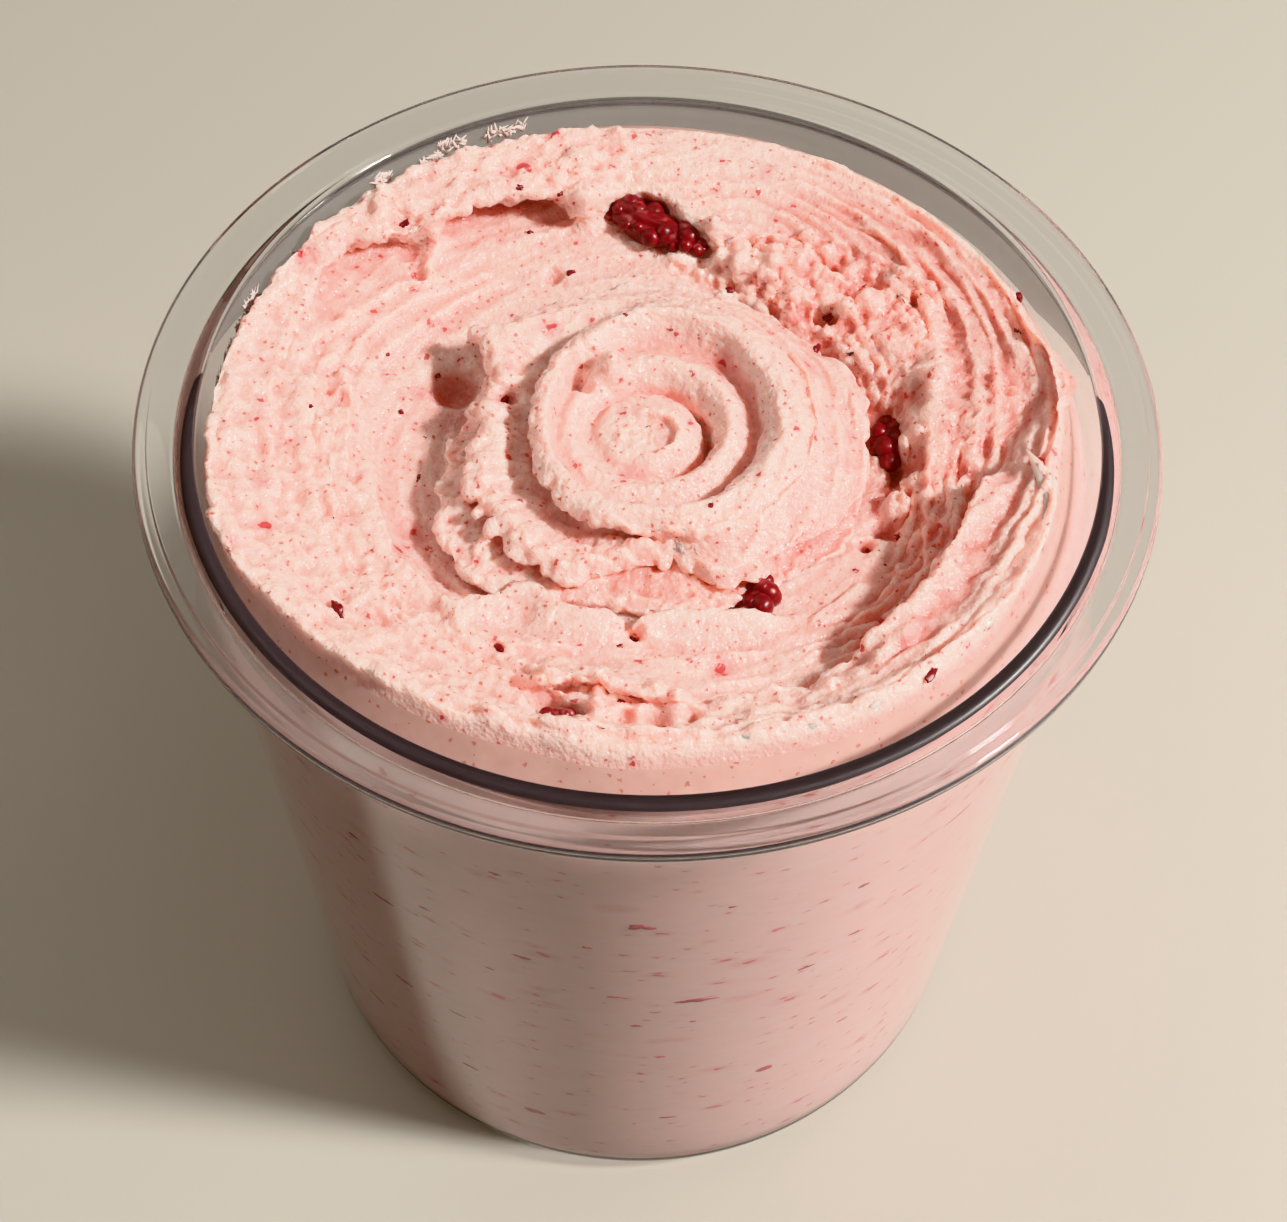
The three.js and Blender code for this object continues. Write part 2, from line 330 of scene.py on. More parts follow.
def loft(rings, rows, spokes, hidden):
    """A surface drawn smoothly through rings round the axis.

    Each ring is a pair: its radius and its level below the rim, each round the tub. The
    stretches between rings that are hidden get few rows. Returns angle, radius, level, the
    way run from the middle, and the ring passed.
    """
    a = np.arange(spokes) * 360 / spokes
    knots = np.stack([np.stack([r(a), z(a)], -1) for r, z in rings])
    ends = np.concatenate([2 * knots[:1] - knots[1:2], knots, 2 * knots[-1:] - knots[-2:-1]])
    chords = np.linalg.norm(np.diff(ends, axis=0), axis=-1)
    gaps = np.sqrt(np.maximum(chords, 0.01))[..., None]
    p0, p1, p2, p3 = ends[:-3], ends[1:-2], ends[2:-1], ends[3:]
    g0, g1, g2 = gaps[:-2], gaps[1:-1], gaps[2:]
    leave = g1 * ((p1 - p0) / g0 - (p2 - p0) / (g0 + g1)) + (p2 - p1)
    reach = g1 * ((p3 - p2) / g2 - (p3 - p1) / (g1 + g2)) + (p2 - p1)
    weight = chords[1:-1].mean(axis=1)
    weight[list(hidden)] *= 0.12
    share = np.cumsum(np.concatenate([[0], weight]))
    passed = np.interp(np.linspace(0, share[-1], rows), share, np.arange(len(rings)))
    span = np.minimum(passed.astype(int), len(rings) - 2)
    t = (passed - span)[:, None, None]
    curve = ((2 * t ** 3 - 3 * t ** 2 + 1) * p1[span] + (t ** 3 - 2 * t ** 2 + t) * leave[span]
             + (3 * t ** 2 - 2 * t ** 3) * p2[span] + (t ** 3 - t ** 2) * reach[span])
    steps = np.linalg.norm(np.diff(curve, axis=0), axis=-1)
    run = np.concatenate([np.zeros((1, spokes)), np.cumsum(steps, axis=0)])
    shape = (rows, spokes)
    return (np.broadcast_to(a, shape), curve[..., 0], curve[..., 1], run,
            np.broadcast_to(passed[:, None], shape))


def placed(a, r, z):
    turn = np.radians(a)
    return np.stack([r * np.cos(turn), r * np.sin(turn), z], -1)


def outward(spots):
    """The way each spot of a lofted surface faces."""
    across = np.roll(spots, -1, axis=1) - np.roll(spots, 1, axis=1)
    down = np.gradient(spots, axis=0)
    face = np.cross(down, across)
    face[0] = (0, 0, 1)
    return face / np.maximum(np.linalg.norm(face, axis=-1, keepdims=True), 1e-9)


def fold(spots, height, steep, gentle, lean, ragged, points):
    """Raises a fold of ice cream along a line, leaning over its steep, left-hand side."""
    x, y = spots[..., 0], spots[..., 1]
    x, y = (x + ragged * (lumps(x / 2, y / 2, 3) + 0.5 * lumps(x / 0.9, y / 0.9, 4)),
            y + ragged * (lumps(x / 2, y / 2, 5) + 0.5 * lumps(x / 0.9, y / 0.9, 6)))
    best = np.full(x.shape, 99.0)
    side, along = np.zeros(x.shape), np.zeros(x.shape)
    lean_x, lean_y = np.zeros(x.shape), np.zeros(x.shape)
    spans = list(zip(points, points[1:]))
    for n, ((ax, ay), (bx, by)) in enumerate(spans):
        ex, ey = bx - ax, by - ay
        length = math.hypot(ex, ey)
        t = np.clip(((x - ax) * ex + (y - ay) * ey) / length ** 2, 0, 1)
        dx, dy = x - ax - t * ex, y - ay - t * ey
        away = np.hypot(dx, dy)
        near = away < best
        best = np.where(near, away, best)
        side = np.where(near, ex * dy - ey * dx, side)
        along = np.where(near, (n + t) / len(spans), along)
        lean_x = np.where(near, -ey / length, lean_x)
        lean_y = np.where(near, ex / length, lean_y)
    body = 1 - rise(0, 1, best / np.where(side > 0, steep, gentle))
    body = body * rise(0, 0.15, along) * (1 - rise(0.85, 1, along))
    spots[..., 0] += lean * body * lean_x
    spots[..., 1] += lean * body * lean_y
    spots[..., 2] += height * body


def bump(spots, x, y, radius, height):
    away = np.hypot(spots[..., 0] - x, spots[..., 1] - y)
    spots[..., 2] += height * (1 - rise(0.15 * radius, radius, away))


def level_map(spots):
    """The highest ice cream in each half millimetre square, and the mean level round it."""
    cell = np.round(2 * spots[:, :2] + MAP_HALF).astype(int)
    top = np.full((2 * MAP_HALF + 1, 2 * MAP_HALF + 1), -5.0)  # outside the tub
    top[tuple(cell.T)] = -99
    np.maximum.at(top, tuple(cell.T), spots[:, 2])
    step = np.minimum(np.arange(len(top)), len(top) - np.arange(len(top)))
    blurred = []
    for reach in (2.0, 4.5):  # millimetres
        bell = np.exp(-0.5 * (step / 2 / reach) ** 2)
        bell = np.fft.fft(bell / bell.sum())
        blurred.append(np.fft.ifft2(np.fft.fft2(top) * np.outer(bell, bell)).real)
    return top, (blurred[0] + blurred[1]) / 2


def hollows(spots):
    """How deep each spot lies in a crease, from -0.5 on a crest to 0.9 in a pit; painted as shade."""
    depth = np.zeros(spots.shape[:2])
    face = outward(spots)
    for reach, share in ((2, 0.95), (5, 0.4), (10, 0.12)):  # spots away, weight
        down = np.concatenate([spots[reach:], np.repeat(spots[-1:], reach, axis=0)])
        up = np.concatenate([np.repeat(spots[:1], reach, axis=0), spots[:-reach]])
        near = down + up + np.roll(spots, reach, axis=1) + np.roll(spots, -reach, axis=1)
        depth += share * ((near / 4 - spots) * face).sum(-1)
    # Spots lying below the mean level round them, as in a recess, get more painted shade.
    cell = np.clip(np.round(2 * spots[..., :2] + MAP_HALF).astype(int), 0, 2 * MAP_HALF)
    below = mean_level[cell[..., 0], cell[..., 1]] - spots[..., 2]
    buried = np.where(spots[..., 2] > -11, np.clip(below, -1.5, 6), 0)
    return np.clip(depth, -0.4, 0.5) + 0.08 * buried


def poured(spots, pressed, extra_shade):
    """A closed mesh through these spots, given row by row from the middle outwards.

    Pressed is 0 in the open, 0.5 where a spot turns down to the wall and 1 against it.
    Extra shade is painted shade: how much darker the colour is made than the shape alone would make
    it.
    """
    rows, spokes = spots.shape[:2]
    bm = bmesh.new()
    bmesh.ops.create_grid(bm, x_segments=spokes, y_segments=rows - 1, size=1)
    seats = (np.array([v.co for v in bm.verts]) + 1) / 2
    spoke = np.round(seats[:, 0] * spokes).astype(int) % spokes
    row = np.round(seats[:, 1] * (rows - 1)).astype(int)
    shade_amount = (hollows(spots) + extra_shade)[row, spoke]
    crease_shade = bm.verts.layers.float.new("crease_shade")
    against = bm.verts.layers.float.new("pressed")
    places = (spots[row, spoke] + (0, 0, TUB_HEIGHT)) * MM
    for vert, spot, shade_here, flat in zip(bm.verts, places, shade_amount, pressed[row, spoke]):
        vert.co = spot
        # The flank gets more painted shade as it turns down to the wall.
        vert[crease_shade] = shade_here + min(1, 2 * flat) * FLANK_SHADE
        vert[against] = flat
    for face in bm.faces:
        if min(vert[against] for vert in face.verts) > PRESSED_FROM:
            face.material_index = 1
    seam = [v for v in bm.verts if v.is_boundary]
    bmesh.ops.remove_doubles(bm, verts=seam, dist=1e-7)
    bmesh.ops.recalc_face_normals(bm, faces=bm.faces)
    return bm


def wall_level(a):
    return -5.9 + 2 * np.cos(np.radians(a - 110))


def wall_r(a):
    return inner_wall_r(-wall_level(a)) + WALL_BITE


def torn_side(a):
    """1 at the mound's front left, where its edges are torn."""
    return sector(a, 215, 70, 30)


def torn_bank(a):
    """How torn the lip of the bank is: most at the back, and then at the front right."""
    return np.maximum(0.25 + 0.75 * sector(a, 105, 50, 20), 0.8 * sector(a, 320, 32, 10))


def smooth_side(a):
    """1 at the mound's right, where the paddle smeared its tiers into one slope."""
    return sector(a, 20, 70, 45)


def lip_back(a):
    """How far back from the bank's lip its top lies."""
    return around((0, 2.2), (20, 2), (60, 4), (75, 3.6), (97, 2.6), (116, 1.6), (127, 1.4),
                  (141, 1.6), (150, 1.4), (165, 4), (206, 5), (240, 3.4), (300, 3), (340, 3))(a)


def level(value):
    """The same value all round the tub."""
    return around((0, value))


# Radius and level of the bowl's forms, from the crest beside the wall inwards. The lip over
# the foot of the bank hangs inwards where lip_over is negative.
crest_r = around((6, 40.8), (20, 40.8), (45, 40.9), (90, 41.2), (120, 41.6), (150, 42.7),
                 (180, 42.9), (205, 43.2), (215, 41.2), (229, 39.7), (245, 38.6), (255, 38),
                 (265, 38.8), (275, 38.5), (285, 38.4), (297, 39.3), (320, 39.6),
                 (335, 39.9), (345, 39.6), (353, 39.2), soft=3)
crest_level = around((0, -1.0), (8, -1.2), (30, -1.7), (60, -2.0), (90, -2.2), (120, -1.6),
                     (135, -1.5), (150, -2.6), (180, -2.5), (195, -1.6), (205, -0.6),
                     (217, -1.2), (230, -1.2), (250, -0.9), (275, -0.7), (300, -0.8),
                     (330, -0.9), (345, -0.5))
foot_r = around((0, 35.6), (3, 37.2), (7, 39.2), (14, 37.6), (30, 34.6), (45, 32), (62, 30),
                (72, 27.5), (78, 27.5), (82, 30), (89, 32.8), (96, 34), (100.5, 31.6), (104, 31.4),
                (107, 35), (110, 37), (116, 38), (124, 38.8), (128.5, 37.2), (131.5, 33.8),
                (134, 38.6), (137, 40), (143, 41.2), (150, 40.6),
                (158, 36.5), (175, 31.5), (206, 31), (225, 31.5), (245, 31), (265, 30.5),
                (280, 31.6), (295, 32.4), (308, 32.3), (321, 32.6), (335, 32.8), (348, 33.4),
                (355, 34.6), soft=1.2)
lip_over = around((0, 1.4), (14, 2.2), (60, 1.6), (75, -0.6), (82, -1.1), (96, -1), (101, 0.4),
                  (104, 0.4), (107, -2.2), (110, -3.2), (116, -3.6), (124, -3.8), (128.5, -2.4),
                  (131.5, 0), (134, -3.2), (137, -4.2), (142, -2.4), (150, 0),
                  (160, 1.2), (206, 1.2), (262, 1), (290, 0.2), (340, -0.2), soft=1.2)
bowl_rings = [  # from the middle out: moat, foot, lip and top of the bank, crest, wall
    (level(0), level(-9.9)),
    (level(12), level(-9.8)),
    (level(19), around((0, -10), (20, -9.9), (40, -7.6), (60, -7), (90, -7), (120, -8.4),
                       (150, -9.8), (180, -9.7), (210, -9.4), (235, -8), (270, -7.4),
                       (290, -7.4), (310, -7.8), (330, -8.6), (345, -9.6))),
    (around((0, 24.4), (10, 24.2), (20, 23.6), (43, 22), (70, 22.4), (80, 23.5), (90, 25),
            (105, 27.4), (124, 28.4), (150, 28), (165, 27), (175, 26.4), (206, 25.8),
            (225, 25.4), (236, 23.6), (262, 23.4), (280, 25), (295, 27), (315, 28.6),
            (332, 27.6), (345, 25.4)),
     around((0, -9.6), (12, -9.2), (24, -8), (43, -6.9), (70, -6.6), (90, -6.8), (105, -6.9),
            (124, -7.6), (150, -8.5), (180, -8.9), (206, -8.9), (225, -8.3), (238, -6.7),
            (265, -6.5), (290, -6.9), (310, -7.3), (330, -7.9), (345, -9))),
    (around((0, 27.6), (15, 27.4), (30, 27.6), (40, 27), (47, 24.6), (60, 24.9), (72, 25.4),
            (80, 26.6), (90, 28.4), (105, 30.6), (124, 33), (145, 33.4), (165, 30.4),
            (180, 28.4), (206, 28), (225, 28), (245, 27.6), (265, 27.4), (290, 29.6),
            (315, 30.6), (332, 30.6), (345, 29.6)),
     around((0, -6.4), (15, -5.4), (30, -4.9), (45, -4.4), (60, -4), (72, -4.3), (80, -6),
            (90, -6.6), (105, -6.8), (124, -6.8), (150, -6.8), (165, -6.9), (180, -6.6),
            (206, -6.5), (225, -6.2), (245, -5.6), (265, -5.7), (290, -6.4), (315, -6.9),
            (332, -7), (345, -7.1))),
    (lambda a: foot_r(a) + torn_bank(a) * jag(a, 2, 0.4, 0.15),
     around((0, -4.6), (7, -3.2), (14, -3.4), (30, -3.5), (45, -3.3), (62, -3.4), (72, -4.3),
            (82, -6.1), (96, -6.2), (102.5, -5.2), (108, -6.8), (116, -6.6), (126, -6.3),
            (131.5, -5), (136, -6.3), (143, -5.2), (155, -4.9),
            (175, -5.7), (206, -5.5), (225, -5.2), (245, -5), (270, -5.2), (295, -6.1),
            (308, -6.4), (335, -6.6), (350, -6.4))),
    (lambda a: foot_r(a) + lip_over(a) + torn_bank(a) * jag(a, 3, 0.7, 0.6),
     around((0, -2.9), (7, -2.3), (14, -2.6), (30, -2.8), (60, -3), (72, -3.5), (82, -3.6),
            (97, -3.1), (110, -2.5), (127, -2.0), (140, -1.9), (150, -2.8), (160, -4.4),
            (175, -5.3), (206, -5.2), (225, -4.9), (245, -4.6), (270, -4.7), (290, -4.7),
            (308, -4.2), (335, -3.7), (350, -3.3))),
    (lambda a: foot_r(a) + np.maximum(lip_over(a), -2.2) + lip_back(a)
     + torn_bank(a) * jag(a, 3, 0.35, 0.1),
     around((0, -1.8), (7, -1.6), (14, -2), (45, -2.3), (72, -2.8), (85, -2.6), (100, -2.1),
            (127, -1.5), (140, -1.3), (150, -2.3), (165, -3.8), (180, -4.2), (206, -3.8),
            (240, -3.2), (270, -3), (295, -2.9), (320, -2.6), (345, -2.2))),
    (lambda a: crest_r(a) + mix(0.3, 0.75, sector(a, 45, 26, 10)) * jag(a, 7, 0.4, 0.7),
     crest_level),
    (lambda a: mix(crest_r(a), wall_r(a), 0.22),
     lambda a: mix(crest_level(a), wall_level(a), 0.17)),
    (lambda a: mix(crest_r(a), wall_r(a), 0.6),
     lambda a: mix(crest_level(a), wall_level(a), 0.56)),
    (wall_r, wall_level),
]
# Radius and level of the mound's three rolled tiers, the cap uppermost.
cap_lip = around((0, 16.5), (60, 16), (100, 14.5), (135, 12.6), (160, 11.8), (186, 11.7),
                 (201, 12), (223, 13), (235, 14.1), (250, 14.2), (266, 14.1), (280, 15),
                 (296, 16), (330, 16.5))
cap_level = around((0, -2.2), (90, -2.2), (140, -2.1), (180, -2.1), (225, -1.9), (270, -1.9),
                   (300, -2.2), (330, -2.4))
cap_drop = around((0, 1.9), (100, 1.9), (140, 2.9), (186, 3.3), (219, 3.2), (254, 2.8),
                  (270, 2.4), (300, 1.7), (330, 1.7))
tier_lip = around((0, 22), (10, 22.4), (20, 22.7), (28, 22.4), (33, 20.9), (42, 20.8),
                  (60, 20.4), (90, 20), (120, 19.6), (137, 20.4), (143, 22.8), (148, 19.7),
                  (154, 17.8), (162, 17.2), (175, 17), (190, 17.6), (201, 18.5), (213, 19.3),
                  (221, 19.2), (229, 20.1), (237, 19.6), (250, 19.2), (254, 17.6),
                  (267, 16.8), (281, 15.6), (288, 17.6), (293, 20.2), (303, 20.2),
                  (318, 19.4), (330, 20.6), (345, 22), soft=2)
tier_level = around((0, -5), (17, -4.6), (33, -4.9), (56, -5), (90, -4.9), (120, -4.7),
                    (144, -4.2), (160, -4.9), (175, -4.8), (197, -4.6), (226, -4.4),
                    (247, -4.4), (270, -4.5), (295, -4.6), (330, -5.3))
third_r = around((0, 22), (30, 21.8), (90, 22.4), (140, 21), (160, 18.6), (180, 19.2),
                 (200, 21.8), (212, 23.2), (235, 23.3), (246, 21.4), (258, 20), (270, 20.8),
                 (280, 21.2), (291, 21), (303, 20.6), (330, 22))
third_level = around((0, -8), (40, -6.6), (90, -6.4), (140, -7), (165, -8), (190, -7.4),
                     (212, -6.8), (235, -6.6), (258, -6.2), (290, -6), (310, -6.8), (340, -8))
mound_rings = [  # from the middle out: core, gutter, ridge, gutter, rim, cap lip, lower tiers
    (level(0), level(-3.3)),
    (level(4.4), level(-3.6)),
    (around((0, 6.1), (60, 5.7), (120, 5.3), (180, 5.7), (240, 5.7), (300, 6)),
     around((0, -6.6), (30, -6.4), (60, -5.8), (100, -5.2), (150, -4.7), (180, -4.5),
            (225, -4.4), (270, -4.6), (315, -5.3), (345, -6.4))),
    (around((0, 6.6), (60, 6.3), (120, 6), (180, 6.9), (240, 6.6), (300, 6.5)),
     around((0, -4.4), (60, -4), (120, -3.6), (180, -3.8), (270, -3.8), (320, -4.3))),
    (around((0, 8.1), (40, 8.3), (90, 7.8), (125, 7.6), (150, 7.8), (180, 8), (270, 7.8)),
     around((0, -2.4), (40, -2.2), (90, -2.1), (125, -2.3), (150, -2.9), (180, -3.1),
            (225, -3.1), (270, -2.9), (315, -2.5))),
    (around((0, 10.9), (45, 11.2), (90, 11), (120, 9.9), (150, 9), (180, 9), (225, 9.8),
            (270, 9.6), (315, 10.4)),
     around((0, -4.3), (45, -4.2), (90, -3.6), (115, -2.7), (135, -3.2), (160, -3.6), (180, -3.6),
            (225, -3.4), (270, -3.5), (315, -4))),
    (around((0, 13.2), (45, 13.7), (90, 13.6), (120, 11.6), (150, 10.5), (180, 10.1),
            (225, 11.3), (250, 12), (270, 12.2), (300, 12.8), (330, 13.1)),
     around((0, -0.8), (90, -0.8), (180, -1.2), (225, -0.8), (270, -0.7), (315, -0.7))),
    (lambda a: cap_lip(a) + torn_side(a) * jag(a, 4, 0.35, 0.12), cap_level),
    (lambda a: cap_lip(a) - 0.3 + 0.9 * smooth_side(a) + torn_side(a) * jag(a, 4, 0.3, 0.2),
     lambda a: cap_level(a) - mix(0.9, 0.6, smooth_side(a))),
    (lambda a: cap_lip(a) + mix(-1.5, 2, smooth_side(a)) + torn_side(a) * jag(a, 4, 0.2, 0),
     lambda a: cap_level(a) - 1.3),
    (lambda a: cap_lip(a) + mix(-0.7, 3.1, smooth_side(a)),
     lambda a: cap_level(a) - cap_drop(a)),
    (lambda a: tier_lip(a) - 1.3 + (0.15 + torn_side(a)) * jag(a, 8, 0.3, 0.1),
     lambda a: tier_level(a) + mix(0.6, 0.9, torn_side(a))),
    (lambda a: tier_lip(a) + (0.5 + 0.5 * torn_side(a)) * jag(a, 8, 0.3, 0.75),
     lambda a: tier_level(a) - 0.3),
    (lambda a: tier_lip(a) - 1.9 + (0.1 + torn_side(a)) * jag(a, 8, 0.2, 0),
     lambda a: tier_level(a) - 1.2),
    (lambda a: third_r(a) - 1.6 + jag(a, 9, 0.3, 0),
     lambda a: mix(tier_level(a) - 1.1, third_level(a), 0.6)),
    (lambda a: third_r(a) + jag(a, 9, 0.5, 0.2), third_level),
    (lambda a: third_r(a) - 0.8, lambda a: third_level(a) - 1.2),
    (lambda a: third_r(a) - 0.6, level(-10.4)),
    (level(12), level(-10.6)),
    (level(0), level(-10.6)),
]


FOLDS = [  # height, steep side, gentle side, lean, raggedness, points
    (0.9, 0.5, 1.2, 0.5, 0.08, [(29.5, 8.2), (29.2, 13.9), (28, 19.6), (26.1, 24),
                                (23.5, 26.9), (20.6, 28.2)]),
    (0.6, 0.4, 1.4, 0.4, 0.04, [(28.3, -11.4), (29.8, -8.1), (31.7, -3), (33.1, 3.1),
                                (33.2, 9.3), (32.4, 14.7), (30.2, 19.6), (26.6, 25.6)]),
    (0.5, 0.4, 1.2, 0.3, 0.04, [(31, -9.2), (32.5, -5.5), (34.5, -0.3), (35.2, 5.3),
                                (35, 12), (32.4, 19.7), (28.2, 25.6)]),
    (0.5, 0.4, 1.1, 0.3, 0.04, [(37.4, 3.4), (37.6, 6.5), (36.9, 11), (34.7, 17.2),
                                (31.4, 23)]),
    (0.5, 0.4, 1.1, 0.3, 0.04, [(39.6, 6.4), (38.8, 11.6), (36.8, 17.4), (33.4, 23.4)]),
    (0.6, 0.4, 1.3, 0.3, 0.05, [(24.8, -17.6), (27.2, -13.9), (27.6, -8.2), (28.3, -1.5),
                                (28.4, 7.3), (27, 13)]),
    (0.6, 0.4, 1.3, 0.3, 0.05, [(22, -23), (25.1, -19.8), (28.1, -15.6), (30, -10.6),
                                (30.6, -5)]),
    (0.7, 0.6, 2.0, 0.3, 0.1, [(18.6, -22), (21.6, -19.4), (24, -16), (25, -11.6)]),
    (0.6, 0.6, 1.8, 0.3, 0.1, [(15.4, -20.6), (18.8, -18), (21.4, -14.6)]),
    (1.5, 0.4, 2.6, 0.9, 0.16, [(18.6, -27.6), (22.6, -24.6), (26, -21), (28.6, -17.2),
                                (31, -12.4), (32.6, -8.6), (34.4, -3.4)]),
    (0.8, 0.5, 0.9, 0.4, 0.05, [(35.6, -4), (38, -6.4), (38.4, -10.3), (37.3, -14.4),
                                (35.8, -17.6), (34.1, -20.8), (31.6, -23.8)]),
    (0.7, 0.4, 0.7, 0.2, 0.12, [(9.4, -36.9), (13.6, -35.8), (18.9, -33.7), (22.4, -31.9),
                                (26.4, -28.9), (30, -25.8), (33.4, -22)]),
    (0.5, 0.6, 2.4, 0.3, 0.1, [(-3.8, -26.4), (0.6, -26.5), (6.5, -25.2), (13.4, -24.4),
                               (19, -23)]),
    (1.6, 0.4, 3.0, 1.0, 0.2, [(-0.6, -23.2), (-0.2, -22.5), (2.3, -21.6), (6.5, -21.2),
                               (9.8, -21), (14, -20)]),
    (1.7, 0.4, 3.2, 1.0, 0.2, [(-21, -19.2), (-18, -20.6), (-15.2, -20.9), (-13, -19.9),
                               (-12, -17.9), (-10.6, -18.9), (-8.6, -21), (-5, -22),
                               (-2.7, -22.2), (-1.6, -23.6)]),
    (0.6, 0.4, 1.6, 0.3, 0.15, [(-5.6, -24.9), (-9.5, -24.9), (-12.4, -24.8), (-15.4, -24),
                                (-19, -22.4)]),
    (2.7, 0.7, 3.0, 1.4, 0.2, [(5.6, -31.9), (3.4, -31.4), (1.6, -30.6), (-0.9, -30), (-3.9, -29.4),
                               (-6.4, -29), (-8.8, -29.4), (-11.4, -31.2)]),
    (0.8, 0.5, 0.7, 0.1, 0.12, [(-16.6, -34.6), (-10.4, -36.3), (-4.4, -37.2), (1.4, -37.4),
                                (7.2, -37)]),
    (0.8, 0.6, 2.4, 0.4, 0.12, [(-27.8, -0.3), (-27, -6), (-26.2, -10.4), (-24.6, -14.2),
                                (-22.4, -17), (-19.4, -19.6)]),
    (0.8, 0.5, 1.8, 0.4, 0.25, [(-30.6, 8), (-30.4, 1.3), (-29.6, -4.4), (-28.4, -8.6)]),
    (0.7, 0.5, 1.8, 0.3, 0.3, [(-34.2, 9), (-34.4, 3), (-33.6, -3), (-32.8, -7)]),
    (0.6, 0.5, 1.6, 0.3, 0.3, [(-37.6, 8.6), (-38, 2), (-37, -5), (-35.4, -11)]),
    (1.0, 0.4, 0.7, 0.2, 0.1, [(-33, -8.4), (-31.4, -8.2), (-30, -9.6), (-30, -12),
                               (-31.4, -13.4)]),
    (0.6, 0.5, 1.4, 0.3, 0.08, [(-16.4, 24.4), (-19.8, 22.8), (-24.5, 19.7), (-28.4, 15.8),
                                (-31.6, 10.1)]),
    (0.6, 0.5, 1.4, 0.3, 0.08, [(-21.9, 22.7), (-26.7, 21.1), (-31.5, 16.2), (-35.4, 9.6)]),
    (0.5, 0.5, 1.3, 0.3, 0.08, [(-13.6, 23.4), (-17.2, 22.2), (-20.4, 20.4), (-23.7, 17.4),
                                (-26.8, 13.5), (-29, 9.6)]),
    (0.7, 0.5, 1.3, 0.3, 0.2, [(-34.4, 24.8), (-37, 21.8), (-39.4, 17.8), (-41.2, 13.4)]),
    (0.9, 0.6, 1.4, 0.3, 0.2, [(-20.9, 28.2), (-22.8, 26.4), (-23.6, 24.2), (-23.4, 22.2)]),
]
HOLLOWS = [  # x, y, radius, depth
    (18.4, 22.8, 1.3, 2.0), (18.3, 17.6, 1.8, 2.6), (18.8, 12.4, 2.0, 2.2), (15.8, 20.2, 0.9, 1.4),
    (8.6, 22.2, 1.5, 2.2), (10.2, 26.4, 1.0, 1.6), (13.4, 20.6, 1.4, 1.8), (21.4, 20, 0.8, 1.2),
    (-26, 26.2, 2.0, 1.0), (-24.6, 22.6, 1.2, 1.2), (-10.4, 24.1, 1.4, 1.2),
    (24.4, 5.4, 4.2, 2.4), (25.6, 0.4, 3.0, 2.4), (24, -7.6, 2.2, 2.2), (21.6, -9.8, 1.2, 1.6),
    (-8.4, -33, 2.6, 3.2), (-5.8, -33, 2.0, 2.6), (1.6, -34.2, 2.3, 3.8),
    (-1.4, -34.0, 1.6, 2.6), (4.6, -33.8, 1.8, 2.2), (-31.2, -11, 0.8, 1.1),
    (-13.3, -25.2, 0.7, 1.4), (-0.6, -22.9, 1.0, 2.0), (-32.4, 5.4, 0.9, 1.2), (-30.2, 4, 0.5, 1.4),
    (-20.2, 10, 3.4, 2.8), (-30.3, 6.4, 0.5, 0.6), (-17.6, -19.4, 1.4, 1.6),
]
KNOBS = [  # x, y, radius, height
    (29.5, 8.6, 1.2, 1.2), (29.3, 10.2, 0.9, 0.6), (6.4, 27.4, 1.6, 1.6), (9.2, 25.6, 1.4, 1.4),
    (12.4, 23.4, 1.5, 1.0), (20.4, 17, 1.4, 1.2), (22.6, 18.2, 1.6, 1.2), (14.6, 18.2, 1.3, 0.9),
    (24.8, -4.8, 2.0, 1.4), (27.2, -4.4, 1.4, 0.9), (-30.6, 5.6, 1.5, 1.3), (-31, 8, 1.0, 0.8),
    (-3.9, -31, 0.7, 1.7), (-4.1, -32.6, 0.7, 1.7), (-3.8, -34.4, 0.9, 1.2),
    (1.4, -30.9, 1.4, 1.0), (3.6, -31.6, 1.6, 1.2), (-7.2, 30.6, 2.0, 1.2),
    (19.6, -29.2, 1.2, 0.8), (24.2, -25.2, 1.3, 0.9), (17, -30.2, 1.0, 0.7),
    (-35.6, 24.4, 1.8, 0.8), (-29.6, 29, 2.4, 0.8),
]
MOUND_FOLDS = [  # as FOLDS
    (0.9, 0.6, 1.4, 0.3, 0.04, [(-2.4, -4.2), (0.9, -4.1), (2.9, -2.7), (3.4, -0.7),
                                (2.2, 1.1), (-0.2, 1.8), (-2.2, 0.9)]),
    (0.6, 0.5, 1.6, 0.3, 0.08, [(6.6, -9.4), (10.4, -5.4), (11.7, 0), (11, 5.4), (8, 9.8)]),
    (0.7, 0.4, 1.8, 0.4, 0.1, [(-6.4, -12), (-1.4, -14.4), (5.2, -14.6), (11.4, -12), (15.6, -6.6),
                               (17, 0), (16, 7), (12.4, 13)]),
]
MOUND_KNOBS = [  # x, y, radius, height
    (-4.1, 6.8, 1.9, 1.9), (-4.9, 9, 2.2, 0.8), (-3.4, 5.9, 1.2, 0.8), (-2.6, -1.2, 1.0, 0.35),
    (-4.6, -9.6, 0.8, 0.7), (-8, -6.6, 1.4, 0.3),
]
MOUND_HOLLOWS = [  # x, y, radius, depth
    (6.3, -0.8, 1.3, 1.2), (-7.6, 6.2, 1.8, 2.2), (-6.4, 4.8, 1.2, 1.3), (-14.2, 4.6, 2, 2.0),
    (-3.4, -10.4, 0.5, 0.5), (-6, -9.6, 0.4, 0.4),
]


def combed(a, run, pitch, seed):
    """Fine lines left by the paddle, about a pitch in millimetres apart."""
    c, s = np.cos(np.radians(a)), np.sin(np.radians(a))
    return (lumps(c * 3, s * 3, run / pitch + seed)
            + 0.6 * lumps(c * 7, s * 7, run / pitch * 2.1 + seed + 40))


